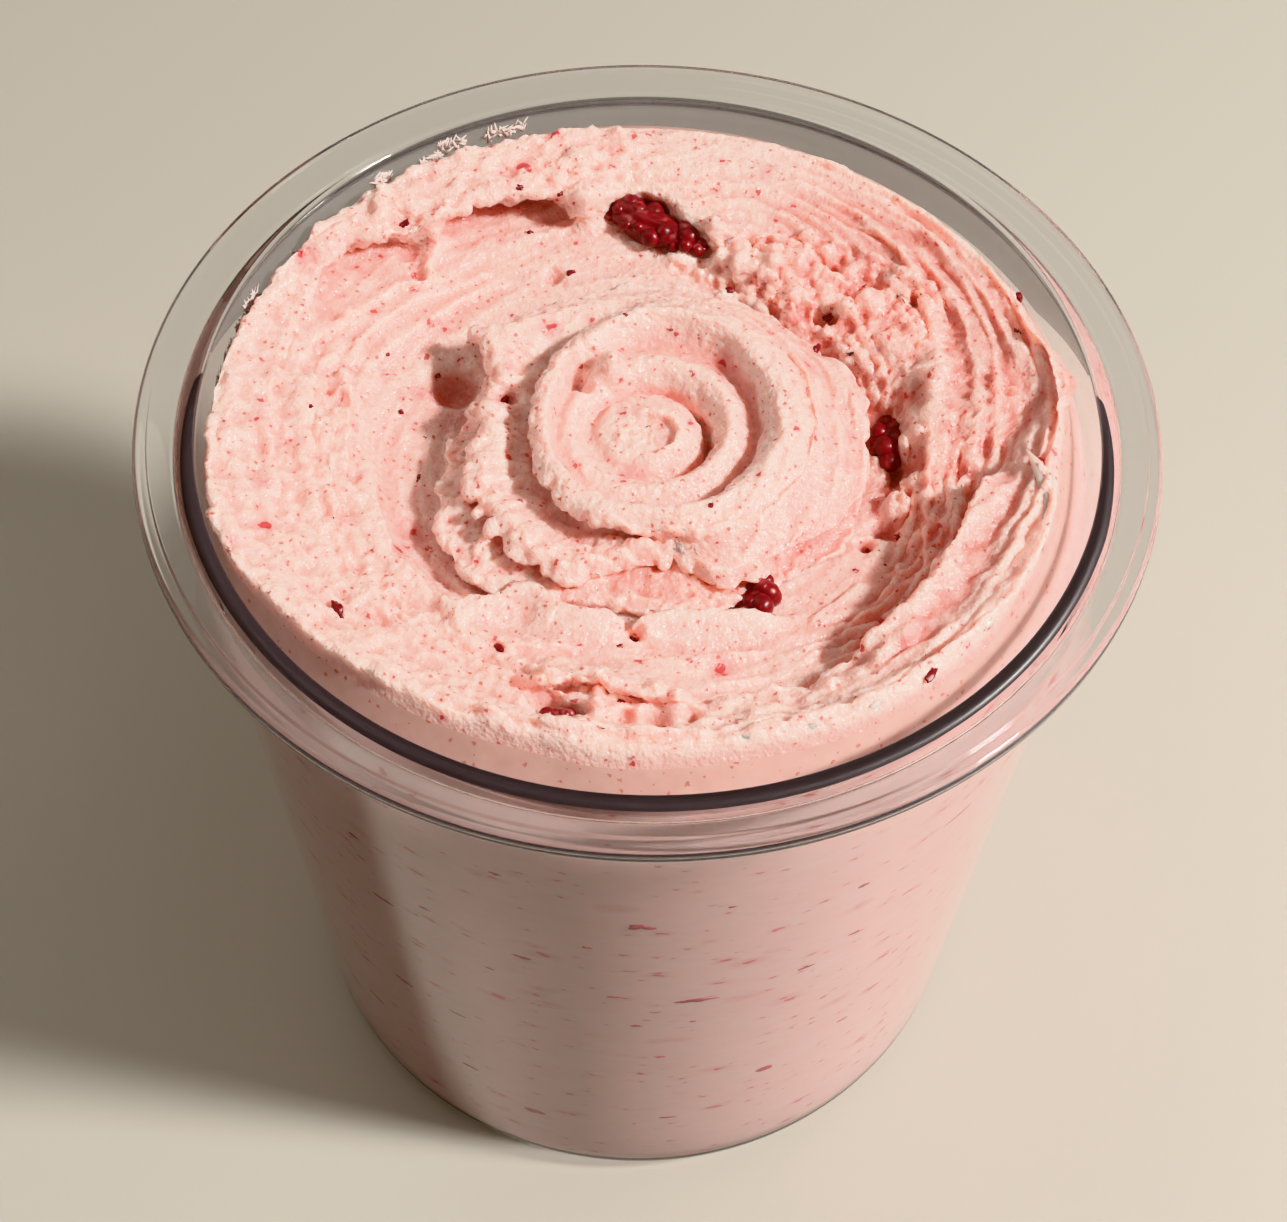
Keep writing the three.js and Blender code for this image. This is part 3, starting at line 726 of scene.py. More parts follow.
def scraped(a, run, pitch, seed, starts=0):
    """Ridges a pitch in millimetres apart, steep towards the middle, that come and go.

    They run round the tub, or spiral inwards as a screw with that many starts does.
    """
    c, s = np.cos(np.radians(a)), np.sin(np.radians(a))
    phase = (run / pitch - starts * a / 360 + 1.1 * lumps(c * 2.2, s * 2.2, run / 7 + seed)
             + 0.3 * lumps(c * 9, s * 9, run / 2.2 + seed)) % 1
    ridge = np.where(phase < 0.3, phase / 0.3, (1 - phase) / 0.7)
    patch = 0.6 + 0.6 * lumps(c * 4, s * 4, run / 3.5 + seed + 9)
    return (ridge - 0.5) * np.clip(patch, 0, 1)


def textured(spots, rough, soft):
    """Crumbs in the rough places and a fine grain everywhere, along the way each spot faces."""
    x, y, z = spots[..., 0], spots[..., 1], spots[..., 2]
    swell = lumps(x / 2.6 + 9, y / 2.6, z / 2.6)
    tangle = lumps(x / 1.3 + 4, y / 1.3, z / 1.3)
    coarse = (0.35 * clots(spots, 1.9, 1) + 0.42 * clots(spots, 1.0, 2) + 0.4 * swell
              + 0.34 * tangle - 0.4)
    grain = 0.2 * clots(spots, 0.62, 3) + 0.1 * lumps(x / 0.7, y / 0.7, z / 0.7) - 0.1
    push = (rough * coarse + soft * grain) * rise(0.3, 1.4, np.hypot(x, y))
    return spots + outward(spots) * push[..., None]


def bowl_spots():
    """The scraped bowl down to the tub's floor: its spots, how pressed each is, and how much
    extra painted shade each gets. The masks pick a part of it by the angle and by the rings passed."""
    a, r, z, run, passed = loft(bowl_rings, BOWL_ROWS, BOWL_SPOKES, (0, 1))
    spots = placed(a, r, z)
    fade = 1 - rise(8.2, 8.9, passed)
    inside = rise(2.2, 3, passed) * (1 - rise(7.8, 8.3, passed))
    left = sector(a, 190, 60, 25) * rise(4, 4.6, passed) * fade
    back = sector(a, 55, 45, 20) * rise(5.8, 6.6, passed) * fade
    front = sector(a, 290, 45, 20) * rise(3.2, 4, passed) * (1 - rise(7.8, 8.3, passed))
    spots[..., 2] += (0.5 * left + 0.5 * back + 0.3 * front) * scraped(a, run, 2.3, 5)
    band = sector(a, 6, 54, 16) * rise(2.6, 3.2, passed) * (1 - rise(7.7, 8.1, passed))
    spots[..., 2] += 0.8 * band * scraped(a, run, 1.45, 23, 22)
    spots[..., 2] += (0.10 * fade + 0.16 * inside) * combed(a, run, 1.0, 5)
    for shape in FOLDS:
        fold(spots, *shape)
    for x, y, radius, depth in HOLLOWS:
        bump(spots, x, y, radius, -depth)
    for x, y, radius, height in KNOBS:
        bump(spots, x, y, radius, height)
    crags = sector(a, 58, 24, 10) * rise(2.6, 3.2, passed) * (1 - rise(5.4, 6.2, passed))
    bank = sector(a, 124, 28, 10) * rise(4.6, 5.2, passed) * (1 - rise(8.8, 9.6, passed))
    slope = sector(a, 205, 48, 25) * rise(3.6, 4.4, passed) * (1 - rise(8.3, 8.8, passed))
    torn = sector(a, 268, 22, 16) * rise(4, 5, passed) * (1 - rise(8, 8.6, passed))
    ledge = sector(a, 308, 24, 14) * rise(5.6, 6, passed) * (1 - rise(6.6, 7.2, passed))
    wall = sector(a, 10, 26, 12) * rise(2.4, 3, passed) * (1 - rise(4.4, 5, passed))
    calm = 0.10 + 0.12 * rise(2.8, 3.4, passed)
    rough = np.maximum.reduce([1.8 * crags, 1.2 * bank, 0.9 * slope, 0.9 * torn,
                               0.7 * ledge, 1.1 * wall, calm])
    spots = textured(spots, rough * fade, (0.7 + 0.6 * rough) * fade)
    spots[..., 2] = np.minimum(spots[..., 2], -0.05)
    # Below the crest it is pressed against the wall down to the rounded corner and the floor.
    side_z = mix(wall_level(a[:1]), FLOOR_THICK + INNER_ROUND - TUB_HEIGHT,
                 np.arange(1, SIDE_ROWS + 1)[:, None] / SIDE_ROWS)
    turn = np.radians(90 * np.arange(1, CORNER_ROWS + 1) / CORNER_ROWS)[:, None]
    round_r = INNER_ROUND + WALL_BITE
    side = placed(a[:1], inner_wall_r(-side_z) + WALL_BITE, side_z)
    corner = placed(a[:1], floor_r + round_r * np.cos(turn) + 0 * a[:1],
                    side_z[-1:] - round_r * np.sin(turn))
    centre = np.broadcast_to((0, 0, FLOOR_THICK - TUB_HEIGHT - WALL_BITE), side[:1].shape)
    pressed = np.ones((BOWL_ROWS + SIDE_ROWS + CORNER_ROWS + 1, BOWL_SPOKES))
    pressed[:BOWL_ROWS] = (rise(8.2, 9.2, passed) + rise(9.8, 10.9, passed)) / 2
    # Painted shade: the right band, the moat floor and the pit left of the mound, where the mound's
    # shadow falls, are coloured darker.
    extra_shade = np.zeros(pressed.shape)
    pit = np.hypot(spots[..., 0] + 19.5, spots[..., 1] - 8)
    extra_shade[:BOWL_ROWS] = (0.5 * sector(a, 6, 50, 24) * rise(2.2, 3.4, passed)
                        * (1 - rise(7, 8, passed))
                        + 0.12 * (1 - rise(2.6, 4, passed)) + 0.45 * (1 - rise(1.5, 6, pit)))
    return np.concatenate([spots, side, corner, centre]), pressed, extra_shade


def mound_spots():
    """The mound, in the same way as the bowl. It isn't pressed anywhere."""
    a, r, z, run, passed = loft(mound_rings, MOUND_ROWS, MOUND_SPOKES, (16, 17, 18))
    spots = placed(a, r, z)
    top = 1 - rise(16, 16.6, passed)
    smooth = sector(a, 350, 60, 45) * rise(5.6, 6.2, passed)
    spots[..., 2] += (0.10 + 0.16 * smooth) * combed(a, run, 1.0, 9) * top
    roped = sector(a, 215, 80, 35) * rise(6.4, 7, passed) * top
    spots[..., 2] += 0.4 * roped * scraped(a, run, 1.9, 17)
    spots[..., 2] += 0.4 * smooth * top * scraped(a, run, 1.7, 31, 4)
    for shape in MOUND_FOLDS:
        fold(spots, *shape)
    for x, y, radius, height in MOUND_KNOBS:
        bump(spots, x, y, radius, height)
    for x, y, radius, depth in MOUND_HOLLOWS:
        bump(spots, x, y, radius, -depth)
    torn = torn_side(a) * rise(9.6, 10.4, passed)
    rope = torn_side(a) * rise(5.8, 6.6, passed)
    back = sector(a, 100, 45, 30) * rise(6.5, 7.5, passed)
    rough = np.maximum.reduce([0.9 * torn, 0.5 * rope, 0.4 * back, 0.18 + 0 * a])
    rough = rough * (1 - 0.5 * smooth)
    # Painted shade: the mound's right side, its lower tiers and the right of its core are coloured
    # darker.
    extra_shade = (0.16 * sector(a, 340, 60, 40) * rise(6.6, 8, passed) + 0.2 * rise(10.4, 11.4, passed)
            + 0.16 * sector(a, 20, 70, 30) * (1 - rise(5, 6, passed)))
    return textured(spots, rough * top, (0.6 + 0.6 * rough) * top), 0 * a, extra_shade


def plain_maths(nodes, links, operation, first, second=None):
    """A maths node; each value is a number or the output that feeds it."""
    step = nodes.new("ShaderNodeMath")
    step.operation = operation
    for socket, value in zip(step.inputs, (first, second)):
        if isinstance(value, bpy.types.NodeSocket):
            links.new(value, socket)
        elif value is not None:
            socket.default_value = value
    return step.outputs[0]


def tinted(nodes, links, share, under, over):
    """A colour laid over another by a share between 0 and 1."""
    blend = nodes.new("ShaderNodeMix")
    blend.data_type = "RGBA"
    links.new(share, blend.inputs["Factor"])
    for socket, colour in ((blend.inputs[6], under), (blend.inputs[7], over)):
        if isinstance(colour, bpy.types.NodeSocket):
            links.new(colour, socket)
        else:
            socket.default_value = (*colour, 1)
    return blend.outputs[2]


def new_group(name, inputs, outputs):
    """An empty shader node group, its nodes and links, and its input and output nodes."""
    group = bpy.data.node_groups.new(name, "ShaderNodeTree")
    for label, kind, value in inputs:
        socket = group.interface.new_socket(label, in_out="INPUT", socket_type=kind)
        if value is not None:
            socket.default_value = value
    for label, kind in outputs:
        group.interface.new_socket(label, in_out="OUTPUT", socket_type=kind)
    nodes = group.nodes
    return (group, nodes, group.links, nodes.new("NodeGroupInput").outputs,
            nodes.new("NodeGroupOutput").inputs)


def flecks_group():
    """Seeds and scraps of berry scattered through the ice cream: where they are, and the
    stain round each."""
    group, nodes, links, given, found = new_group(
        "flecks",
        [("Vector", "NodeSocketVector", None), ("Spacing", "NodeSocketFloat", 1.0),
         ("Size", "NodeSocketFloat", 0.2), ("Share", "NodeSocketFloat", 0.5)],
        [("Mask", "NodeSocketFloat"), ("Stain", "NodeSocketFloat")])
    scale = plain_maths(nodes, links, "DIVIDE", 1000, given["Spacing"])
    stretch = nodes.new("ShaderNodeVectorMath")
    stretch.operation = "SCALE"
    links.new(given["Vector"], stretch.inputs[0])
    links.new(scale, stretch.inputs["Scale"])
    ragged = nodes.new("ShaderNodeTexNoise")
    ragged.inputs["Scale"].default_value = 4
    ragged.inputs["Detail"].default_value = 0
    links.new(stretch.outputs[0], ragged.inputs["Vector"])
    shift = nodes.new("ShaderNodeVectorMath")
    shift.operation = "MULTIPLY_ADD"
    shift.inputs[1].default_value = (0.3, 0.3, 0.3)
    links.new(ragged.outputs["Color"], shift.inputs[0])
    links.new(stretch.outputs[0], shift.inputs[2])
    cells = nodes.new("ShaderNodeTexVoronoi")
    cells.inputs["Scale"].default_value = 1
    links.new(shift.outputs[0], cells.inputs["Vector"])
    parts = nodes.new("ShaderNodeSeparateColor")
    links.new(cells.outputs["Color"], parts.inputs[0])
    size = plain_maths(nodes, links, "MULTIPLY", given["Size"],
                       plain_maths(nodes, links, "ADD", parts.outputs[0], 0.4))
    kept = plain_maths(nodes, links, "LESS_THAN", parts.outputs[1], given["Share"])
    for label, inner, outer in (("Mask", 0.75, 1.05), ("Stain", 0.6, 3.2)):
        spread = nodes.new("ShaderNodeMapRange")
        spread.interpolation_type = "SMOOTHSTEP"
        links.new(cells.outputs["Distance"], spread.inputs["Value"])
        links.new(plain_maths(nodes, links, "MULTIPLY", size, inner), spread.inputs["From Min"])
        links.new(plain_maths(nodes, links, "MULTIPLY", size, outer), spread.inputs["From Max"])
        spread.inputs["To Min"].default_value = 1
        spread.inputs["To Max"].default_value = 0
        links.new(plain_maths(nodes, links, "MULTIPLY", spread.outputs[0], kept), found[label])
    return group


CREAM_PALE = (0.96, 0.74, 0.69)
# The colour of painted shade in creases, pits and recesses.
CREAM_SHADE = (0.70, 0.29, 0.26)
CREAM_STAIN = (0.75, 0.16, 0.17)
SIDE_PALE = (0.80, 0.56, 0.53)
SIDE_GREY = (0.64, 0.47, 0.46)
SIDE_PINK = (0.72, 0.40, 0.38)
SIDE_STAIN = (0.55, 0.14, 0.16)
# Flank colours, darker than the top as painted shade, mottled at random between the two.
FLANK_SHADED_PALE = (0.82, 0.54, 0.49)
FLANK_SHADED_DEEP = (0.62, 0.33, 0.29)
FLANK_DOTS = (0.56, 0.14, 0.10)
SEED_SIZES = [  # spacing, size within it, share kept, colour, strength of the stain
    (0.9, 0.19, 0.85, (0.60, 0.15, 0.11), 0.12),
    (1.9, 0.14, 0.50, (0.52, 0.05, 0.045), 0.30),
    (4.4, 0.12, 0.30, (0.55, 0.025, 0.035), 0.40),
]
SIDE_STREAKS = [  # as SEED_SIZES
    (1.3, 0.13, 0.35, (0.58, 0.16, 0.14), 0.15),
    (2.6, 0.12, 0.30, (0.62, 0.09, 0.10), 0.3),
]
SIDE_CLOUDS = [  # scale of the noise, its detail, share of the tint, tint
    (900, 3, 0.70, SIDE_GREY),
    (260, 2, 0.63, SIDE_PINK),
]


def noise(nodes, links, place, scale, detail=2):
    """A noise, with about a scale of lumps to the metre."""
    cloud = nodes.new("ShaderNodeTexNoise")
    cloud.inputs["Scale"].default_value = scale
    cloud.inputs["Detail"].default_value = detail
    links.new(place, cloud.inputs["Vector"])
    return cloud.outputs["Fac"]


def scattered(nodes, links, place, spacing, size, share):
    """The flecks, at a spacing in millimetres and a size that is a share of it."""
    found = nodes.new("ShaderNodeGroup")
    found.node_tree = flecks
    for label, value in (("Spacing", spacing), ("Size", size), ("Share", share)):
        found.inputs[label].default_value = value
    links.new(place, found.inputs["Vector"])
    return found.outputs


def seeded(nodes, links, place, colour, sizes, stain_colour, strength):
    """A colour with seeds of several sizes over it, each seed in its stain."""
    for spacing, size, share, tint, stain in sizes:
        seeds = scattered(nodes, links, place, spacing, size, share)
        halo = plain_maths(nodes, links, "MULTIPLY", seeds["Stain"], stain)
        colour = tinted(nodes, links, halo, colour, stain_colour)
        shown = plain_maths(nodes, links, "MULTIPLY", seeds["Mask"], strength)
        colour = tinted(nodes, links, shown, colour, tint)
    return colour


def lit_within(shader, weight, radius, depth):
    """Lets light into the ice cream, to about a depth in millimetres, reddest the deepest."""
    shader.subsurface_method = "BURLEY"
    shader.inputs["Subsurface Weight"].default_value = weight
    shader.inputs["Subsurface Radius"].default_value = radius
    shader.inputs["Subsurface Scale"].default_value = depth * MM


def round_the_tub(nodes, links, place):
    """A place on the wall as if unrolled: the way round, shortened, and the height."""
    part = nodes.new("ShaderNodeSeparateXYZ")
    links.new(place, part.inputs[0])
    turn = plain_maths(nodes, links, "ARCTAN2", part.outputs[0],
                       plain_maths(nodes, links, "MULTIPLY", part.outputs[1], -1))
    flat = nodes.new("ShaderNodeCombineXYZ")
    links.new(plain_maths(nodes, links, "MULTIPLY", turn, 0.4 * MOUTH_R * MM), flat.inputs[0])
    links.new(part.outputs[2], flat.inputs[2])
    return flat.outputs[0]


def pressed_material():
    """Ice cream seen through the wall it is pressed against: smooth, and the paddle has
    drawn its colour and its scraps of berry out into streaks that run round the tub. Where
    it only turns down to the wall it is a plain mottled flank with dots, painted darker than
    the top as shade."""
    material, nodes, links, cream = shader_material("pressed_ice_cream")
    cream.inputs["Roughness"].default_value = 0.34
    lit_within(cream, 0.6, (1, 0.36, 0.27), 2.4)
    place = nodes.new("ShaderNodeTexCoord").outputs["Object"]
    flat = round_the_tub(nodes, links, place)
    side = SIDE_PALE
    for scale, detail, share, other in SIDE_CLOUDS:
        cloud = noise(nodes, links, flat, scale, detail)
        spread = plain_maths(nodes, links, "MULTIPLY", cloud, share)
        side = tinted(nodes, links, spread, side, other)
    side = seeded(nodes, links, flat, side, SIDE_STREAKS, SIDE_STAIN, 0.8)
    mottle = noise(nodes, links, place, 420, 4)
    flank = tinted(nodes, links, mottle, FLANK_SHADED_PALE, FLANK_SHADED_DEEP)
    dots = scattered(nodes, links, place, 1.1, 0.18, 0.95)
    shown = plain_maths(nodes, links, "MULTIPLY", dots["Mask"], 0.75)
    flank = tinted(nodes, links, shown, flank, FLANK_DOTS)
    against = nodes.new("ShaderNodeAttribute")
    against.attribute_name = "pressed"
    lower = plain_maths(nodes, links, "MULTIPLY_ADD", against.outputs["Fac"], 2)
    lower.node.inputs[2].default_value = -1
    links.new(tinted(nodes, links, lower, flank, side), cream.inputs["Base Color"])
    return material


def churned_material():
    """Berry ice cream: pale where it stands up and painted darker in its creases as shade,
    full of seeds, with a fine grain and a wet gloss."""
    material, nodes, links, cream = shader_material("churned_ice_cream")
    cream.inputs["Roughness"].default_value = 0.30
    cream.inputs["Coat Weight"].default_value = 0.5
    cream.inputs["Coat Roughness"].default_value = 0.09
    lit_within(cream, 0.85, (1, 0.36, 0.27), 2.4)
    place = nodes.new("ShaderNodeTexCoord").outputs["Object"]
    crease_shade = nodes.new("ShaderNodeAttribute")
    crease_shade.attribute_name = "crease_shade"
    # Pale towards painted shade by the crease attribute, with a random cloud over it.
    cloud = noise(nodes, links, place, 160)
    depth = plain_maths(nodes, links, "MULTIPLY_ADD", cloud, 0.14)
    links.new(crease_shade.outputs["Fac"], depth.node.inputs[2])
    colour = tinted(nodes, links, depth, CREAM_PALE, CREAM_SHADE)
    colour = seeded(nodes, links, place, colour, SEED_SIZES, CREAM_STAIN, 0.85)
    links.new(colour, cream.inputs["Base Color"])
    coarse = plain_maths(nodes, links, "MULTIPLY", noise(nodes, links, place, 1300, 1), 0.6)
    fine = plain_maths(nodes, links, "MULTIPLY", noise(nodes, links, place, 3000, 1), 0.45)
    relief = nodes.new("ShaderNodeBump")
    relief.inputs["Strength"].default_value = 1
    relief.inputs["Distance"].default_value = 0.42 * MM
    links.new(plain_maths(nodes, links, "ADD", coarse, fine), relief.inputs["Height"])
    links.new(relief.outputs["Normal"], cream.inputs["Normal"])
    links.new(relief.outputs["Normal"], cream.inputs["Coat Normal"])
    return material


flecks = flecks_group()
churned = churned_material()
pressed_cream = pressed_material()
bowl_points, bowl_pressed, bowl_extra_shade = bowl_spots()
mound_points, mound_pressed, mound_extra_shade = mound_spots()
top_level, mean_level = level_map(np.concatenate([bowl_points[:BOWL_ROWS].reshape(-1, 3),
                                                  mound_points.reshape(-1, 3)]))
bowl = finished_piece("churned_bowl", poured(bowl_points, bowl_pressed, bowl_extra_shade),
                      churned, pressed_cream)
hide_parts("ice_cream")
mound = finished_piece("rolled_mound", poured(mound_points, mound_pressed, mound_extra_shade), churned)
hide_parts("ice_cream")


# ---- The berries ----------------------------------------------------------------------
# Scraps of raspberry churned into the ice cream: torn clusters of drupelets, wet and dark
# red, lying in pits and under the edges of the folds that caught them.

BERRIES = [  # CAD node, x, y, level, half sizes along, across and up, turn, drupelets
    ("berry_back", -0.2, 29.8, -5.2, (7.4, 2.5, 1.9), -31, 26),
    ("berry_right", 24.8, 4.4, -9.6, (3.5, 2.5, 1.6), 70, 14),
    ("berry_front", 10.8, -18.0, -6.5, (2.4, 1.6, 1.3), 55, 10),
    ("berry_crest", -7.4, -33.2, -5.2, (1.8, 1.0, 0.7), -12, 6),
]
DRUPELET_R = 1.1
BERRY_DARK = (0.05, 0.002, 0.004)
BERRY_RED = (0.36, 0.016, 0.024)
BERRY_SMEAR = (0.62, 0.16, 0.17)


def berry_material():
    """Wet raspberry skin, darker and redder in patches and smeared with ice cream."""
    material, nodes, links, skin = shader_material("berry")
    skin.inputs["Roughness"].default_value = 0.38
    skin.inputs["Coat Weight"].default_value = 0.15
    skin.inputs["Coat Roughness"].default_value = 0.2
    skin.inputs["Subsurface Weight"].default_value = 0.3
    skin.inputs["Subsurface Radius"].default_value = (1, 0.15, 0.15)
    skin.inputs["Subsurface Scale"].default_value = 0.6 * MM
    place = nodes.new("ShaderNodeTexCoord").outputs["Object"]
    patch = noise(nodes, links, place, 520)
    flesh = tinted(nodes, links, patch, BERRY_DARK, BERRY_RED)
    creamy = nodes.new("ShaderNodeMapRange")
    creamy.inputs["From Min"].default_value = 0.56
    creamy.inputs["From Max"].default_value = 0.70
    creamy.inputs["To Max"].default_value = 0.45
    links.new(noise(nodes, links, place, 900, 1), creamy.inputs["Value"])
    flesh = tinted(nodes, links, creamy.outputs[0], flesh, BERRY_SMEAR)
    links.new(flesh, skin.inputs["Base Color"])
    relief = nodes.new("ShaderNodeBump")
    relief.inputs["Distance"].default_value = 0.3 * MM
    links.new(patch, relief.inputs["Height"])
    links.new(relief.outputs["Normal"], skin.inputs["Normal"])
    return material


def torn_flesh(bm, x, y, below, size, turn, seed, detail=4, ragged=1):
    """An uneven scrap of berry flesh at a level below the rim, added to a bmesh."""
    made = bmesh.ops.create_icosphere(bm, subdivisions=detail, radius=1)["verts"]
    ball = np.array([v.co for v in made])
    torn = lumps(ball[:, 0] * 1.6 + seed, ball[:, 1] * 1.6, ball[:, 2] * 1.6)
    fine = lumps(ball[:, 0] * 4 + seed, ball[:, 1] * 4, ball[:, 2] * 4)
    spots = ball * size * (0.84 + ragged * (0.2 * torn + 0.08 * fine))[:, None]
    c, s = math.cos(math.radians(turn)), math.sin(math.radians(turn))
    for vert, (px, py, pz) in zip(made, spots):
        vert.co = Vector((x + px * c - py * s, y + px * s + py * c, TUB_HEIGHT + below + pz)) * MM


def drupelets(bm, x, y, below, size, turn, count, seed):
    """The beads of a torn raspberry, seated over a scrap of flesh."""
    c, s = math.cos(math.radians(turn)), math.sin(math.radians(turn))
    for n in range(count):
        high = 1 - 1.5 * (n + 0.5) / count
        flat = math.sqrt(1 - high * high)
        swing = 2.4 * n + lattice(n, seed, 3)
        px = size[0] * 0.84 * flat * math.cos(swing)
        py = size[1] * 0.70 * flat * math.sin(swing)
        pz = size[2] * 0.4 * high
        bead_r = DRUPELET_R * (0.45 + 0.7 * lattice(n, seed, 7)) * min(1, size[2])
        at = Vector((x + px * c - py * s, y + px * s + py * c, TUB_HEIGHT + below + pz)) * MM
        bmesh.ops.create_icosphere(bm, subdivisions=3, radius=bead_r * MM,
                                   matrix=Matrix.Translation(at))


berry_skin = berry_material()
for seed, (node, x, y, level_below, size, turn, beads) in enumerate(BERRIES):
    scrap = bmesh.new()
    torn_flesh(scrap, x, y, level_below, size, turn, seed + 1)
    drupelets(scrap, x, y, level_below, size, turn, beads, seed + 1)
    berry = finished_piece(node.replace("berry", "raspberry"), scrap, berry_skin)
    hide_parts(node)


# ---- The berry flecks -----------------------------------------------------------------
# Crumbs of the same berries, pressed into the surface of the ice cream, where they show as
# single red bits.

FLECKS = [  # x, y, half length, half width, turn
    (-28.4, -23.0, 1.3, 0.6, -60), (26.1, -30.2, 1.1, 0.45, 65), (37.6, 17.2, 0.7, 0.4, 100),
    (37.2, 13.2, 0.6, 0.35, 110), (25.2, -8.2, 0.7, 0.4, 20), (22.0, -9.6, 0.4, 0.35, 0),
    (23.4, -12.6, 0.3, 0.25, 0), (20.4, -13.4, 0.3, 0.25, 0), (-22.9, -2.2, 0.6, 0.3, 75),
    (-25.3, 5.8, 0.35, 0.3, 0), (-22.6, 3.2, 0.3, 0.25, 0), (-14.3, 31.6, 0.5, 0.4, 0),
    (-13.2, 29.6, 0.45, 0.4, 0), (-10.0, 31.4, 0.5, 0.3, 30), (6.1, -11.8, 0.4, 0.3, 40),
    (-1.8, -31.9, 0.45, 0.3, -20), (-2.2, -24.4, 0.5, 0.35, 10), (8.2, 21.5, 0.6, 0.4, 0),
    (-15.9, 15.3, 0.4, 0.35, 0), (-14.6, 4.6, 1.0, 0.5, 60), (-33.6, 2.0, 0.3, 0.25, 0),
    (-2.6, 12.6, 0.3, 0.25, 0), (2.0, 12.2, 0.3, 0.25, 0), (-27.0, 12.0, 0.25, 0.25, 0),
    (-26.0, 26.4, 0.8, 0.4, 40), (-8.6, 24.4, 0.6, 0.4, 20), (18.4, 17.4, 0.7, 0.45, 30),
    (-22.0, 11.6, 0.35, 0.3, 0), (-0.8, -22.8, 0.5, 0.3, 0), (-13.4, -25.2, 0.6, 0.3, -30),
    (2.4, -34.6, 0.5, 0.35, 0), (17.0, 12.6, 0.7, 0.4, 70),
]
crumbs = bmesh.new()
for seed, (x, y, half_length, half_width, turn) in enumerate(FLECKS):
    size = (half_length, half_width, 0.6 * half_width)
    level_there = top_level[round(2 * x) + MAP_HALF, round(2 * y) + MAP_HALF]
    torn_flesh(crumbs, x, y, level_there - 0.1, size, turn, seed + 20, 3, 2)
fleck_piece = finished_piece("berry_flecks", crumbs, berry_skin)


# ---- The pressed streaks ----------------------------------------------------------------
# Scraps of berry caught between the ice cream and the wall, and drawn out into short red
# streaks by the paddle.

PRESSED = [  # angle round the tub, level below the rim, half length, half height
    (230.7, -26, 0.8, 0.35), (233.6, -37.6, 1.6, 0.4), (241.1, -33.2, 0.8, 0.35),
    (252.6, -18.1, 0.7, 0.3), (255, -35.9, 1.2, 0.4), (249.7, -41.4, 0.8, 0.2),
    (263.9, -30.5, 0.6, 0.25), (270.8, -24.9, 1.4, 0.7), (282, -21.8, 0.6, 0.2),
    (300.3, -26.3, 0.8, 0.35), (301, -37.8, 0.8, 0.35), (294.2, -41.5, 1.0, 0.4),
    (279, -43.5, 2.4, 0.55), (270.7, -49.6, 1.0, 0.3), (267.4, -42.2, 1.1, 0.25),
    (291.2, -67.6, 1.2, 0.8), (274.1, -58.4, 0.8, 0.25), (253.9, -80, 1.5, 0.7),
    (243.2, -73.4, 1.1, 0.35), (233.2, -58.2, 1.4, 0.4), (223.4, -72.9, 1.4, 0.4),
    (242.6, -58.3, 1.2, 0.25), (275.9, -77.3, 1.2, 0.25), (309.9, -35.3, 1.4, 0.25),
    (304, -62.8, 1.3, 0.3), (278.4, -49, 0.5, 0.25), (315, -24, 2.2, 0.25),
]


def streak_material():
    material, _, _, skin = shader_material("berry_streak")
    skin.inputs["Base Color"].default_value = (0.46, 0.045, 0.07, 1)
    skin.inputs["Roughness"].default_value = 0.5
    return material


drawn_out = bmesh.new()
for seed, (angle, level_below, half_length, half_height) in enumerate(PRESSED):
    seat = placed(angle, inner_wall_r(-level_below) + WALL_BITE - 0.06, level_below)
    size = (0.2, half_length, half_height)
    torn_flesh(drawn_out, seat[0], seat[1], seat[2], size, angle, seed + 60, 3, 2)
streak_piece = finished_piece("pressed_berry_streaks", drawn_out, streak_material())


# ---- The melting edge -----------------------------------------------------------------
# Ice cream along the right of the crest that has begun to melt: smooth, pale and glossy,
# one long strand at first and then a row of short ones.

MELTED = [  # strands of x, y, level, half width, half height
    [(36.6, -3.2, -1.2, 0.4, 0.3), (37.4, -5.0, -1.0, 0.7, 0.5), (38.2, -7.2, -0.95, 0.85, 0.5),
     (38.4, -10.3, -1.0, 0.7, 0.5), (37.6, -13.4, -1.0, 0.6, 0.45), (36.4, -16.4, -1.0, 0.5, 0.4),
     (35.2, -18.9, -1.1, 0.45, 0.4), (33.6, -21.6, -1.2, 0.4, 0.35)],
    [(33.0, -22.4, -1.2, 0.35, 0.35), (31.6, -24.2, -1.1, 0.5, 0.45), (30.2, -25.6, -1.2, 0.35, 0.35)],
    [(29.2, -26.5, -1.2, 0.35, 0.35), (27.6, -27.8, -1.1, 0.5, 0.45), (26.2, -29.2, -1.2, 0.4, 0.35)],
    [(25.2, -30.1, -1.2, 0.35, 0.35), (22.6, -32.0, -1.1, 0.5, 0.5), (20.4, -33.6, -1.1, 0.5, 0.45),
     (18.8, -34.6, -1.2, 0.35, 0.35)],
    [(17.0, -35.3, -1.2, 0.3, 0.3), (15.2, -35.9, -1.1, 0.4, 0.35), (13.4, -36.5, -1.2, 0.3, 0.3)],
    [(11.6, -36.9, -1.2, 0.25, 0.3), (9.6, -37.3, -1.1, 0.35, 0.35), (7.4, -37.6, -1.2, 0.25, 0.3)],
]
STRAND_SIDES = 16
STRAND_STEPS = 60


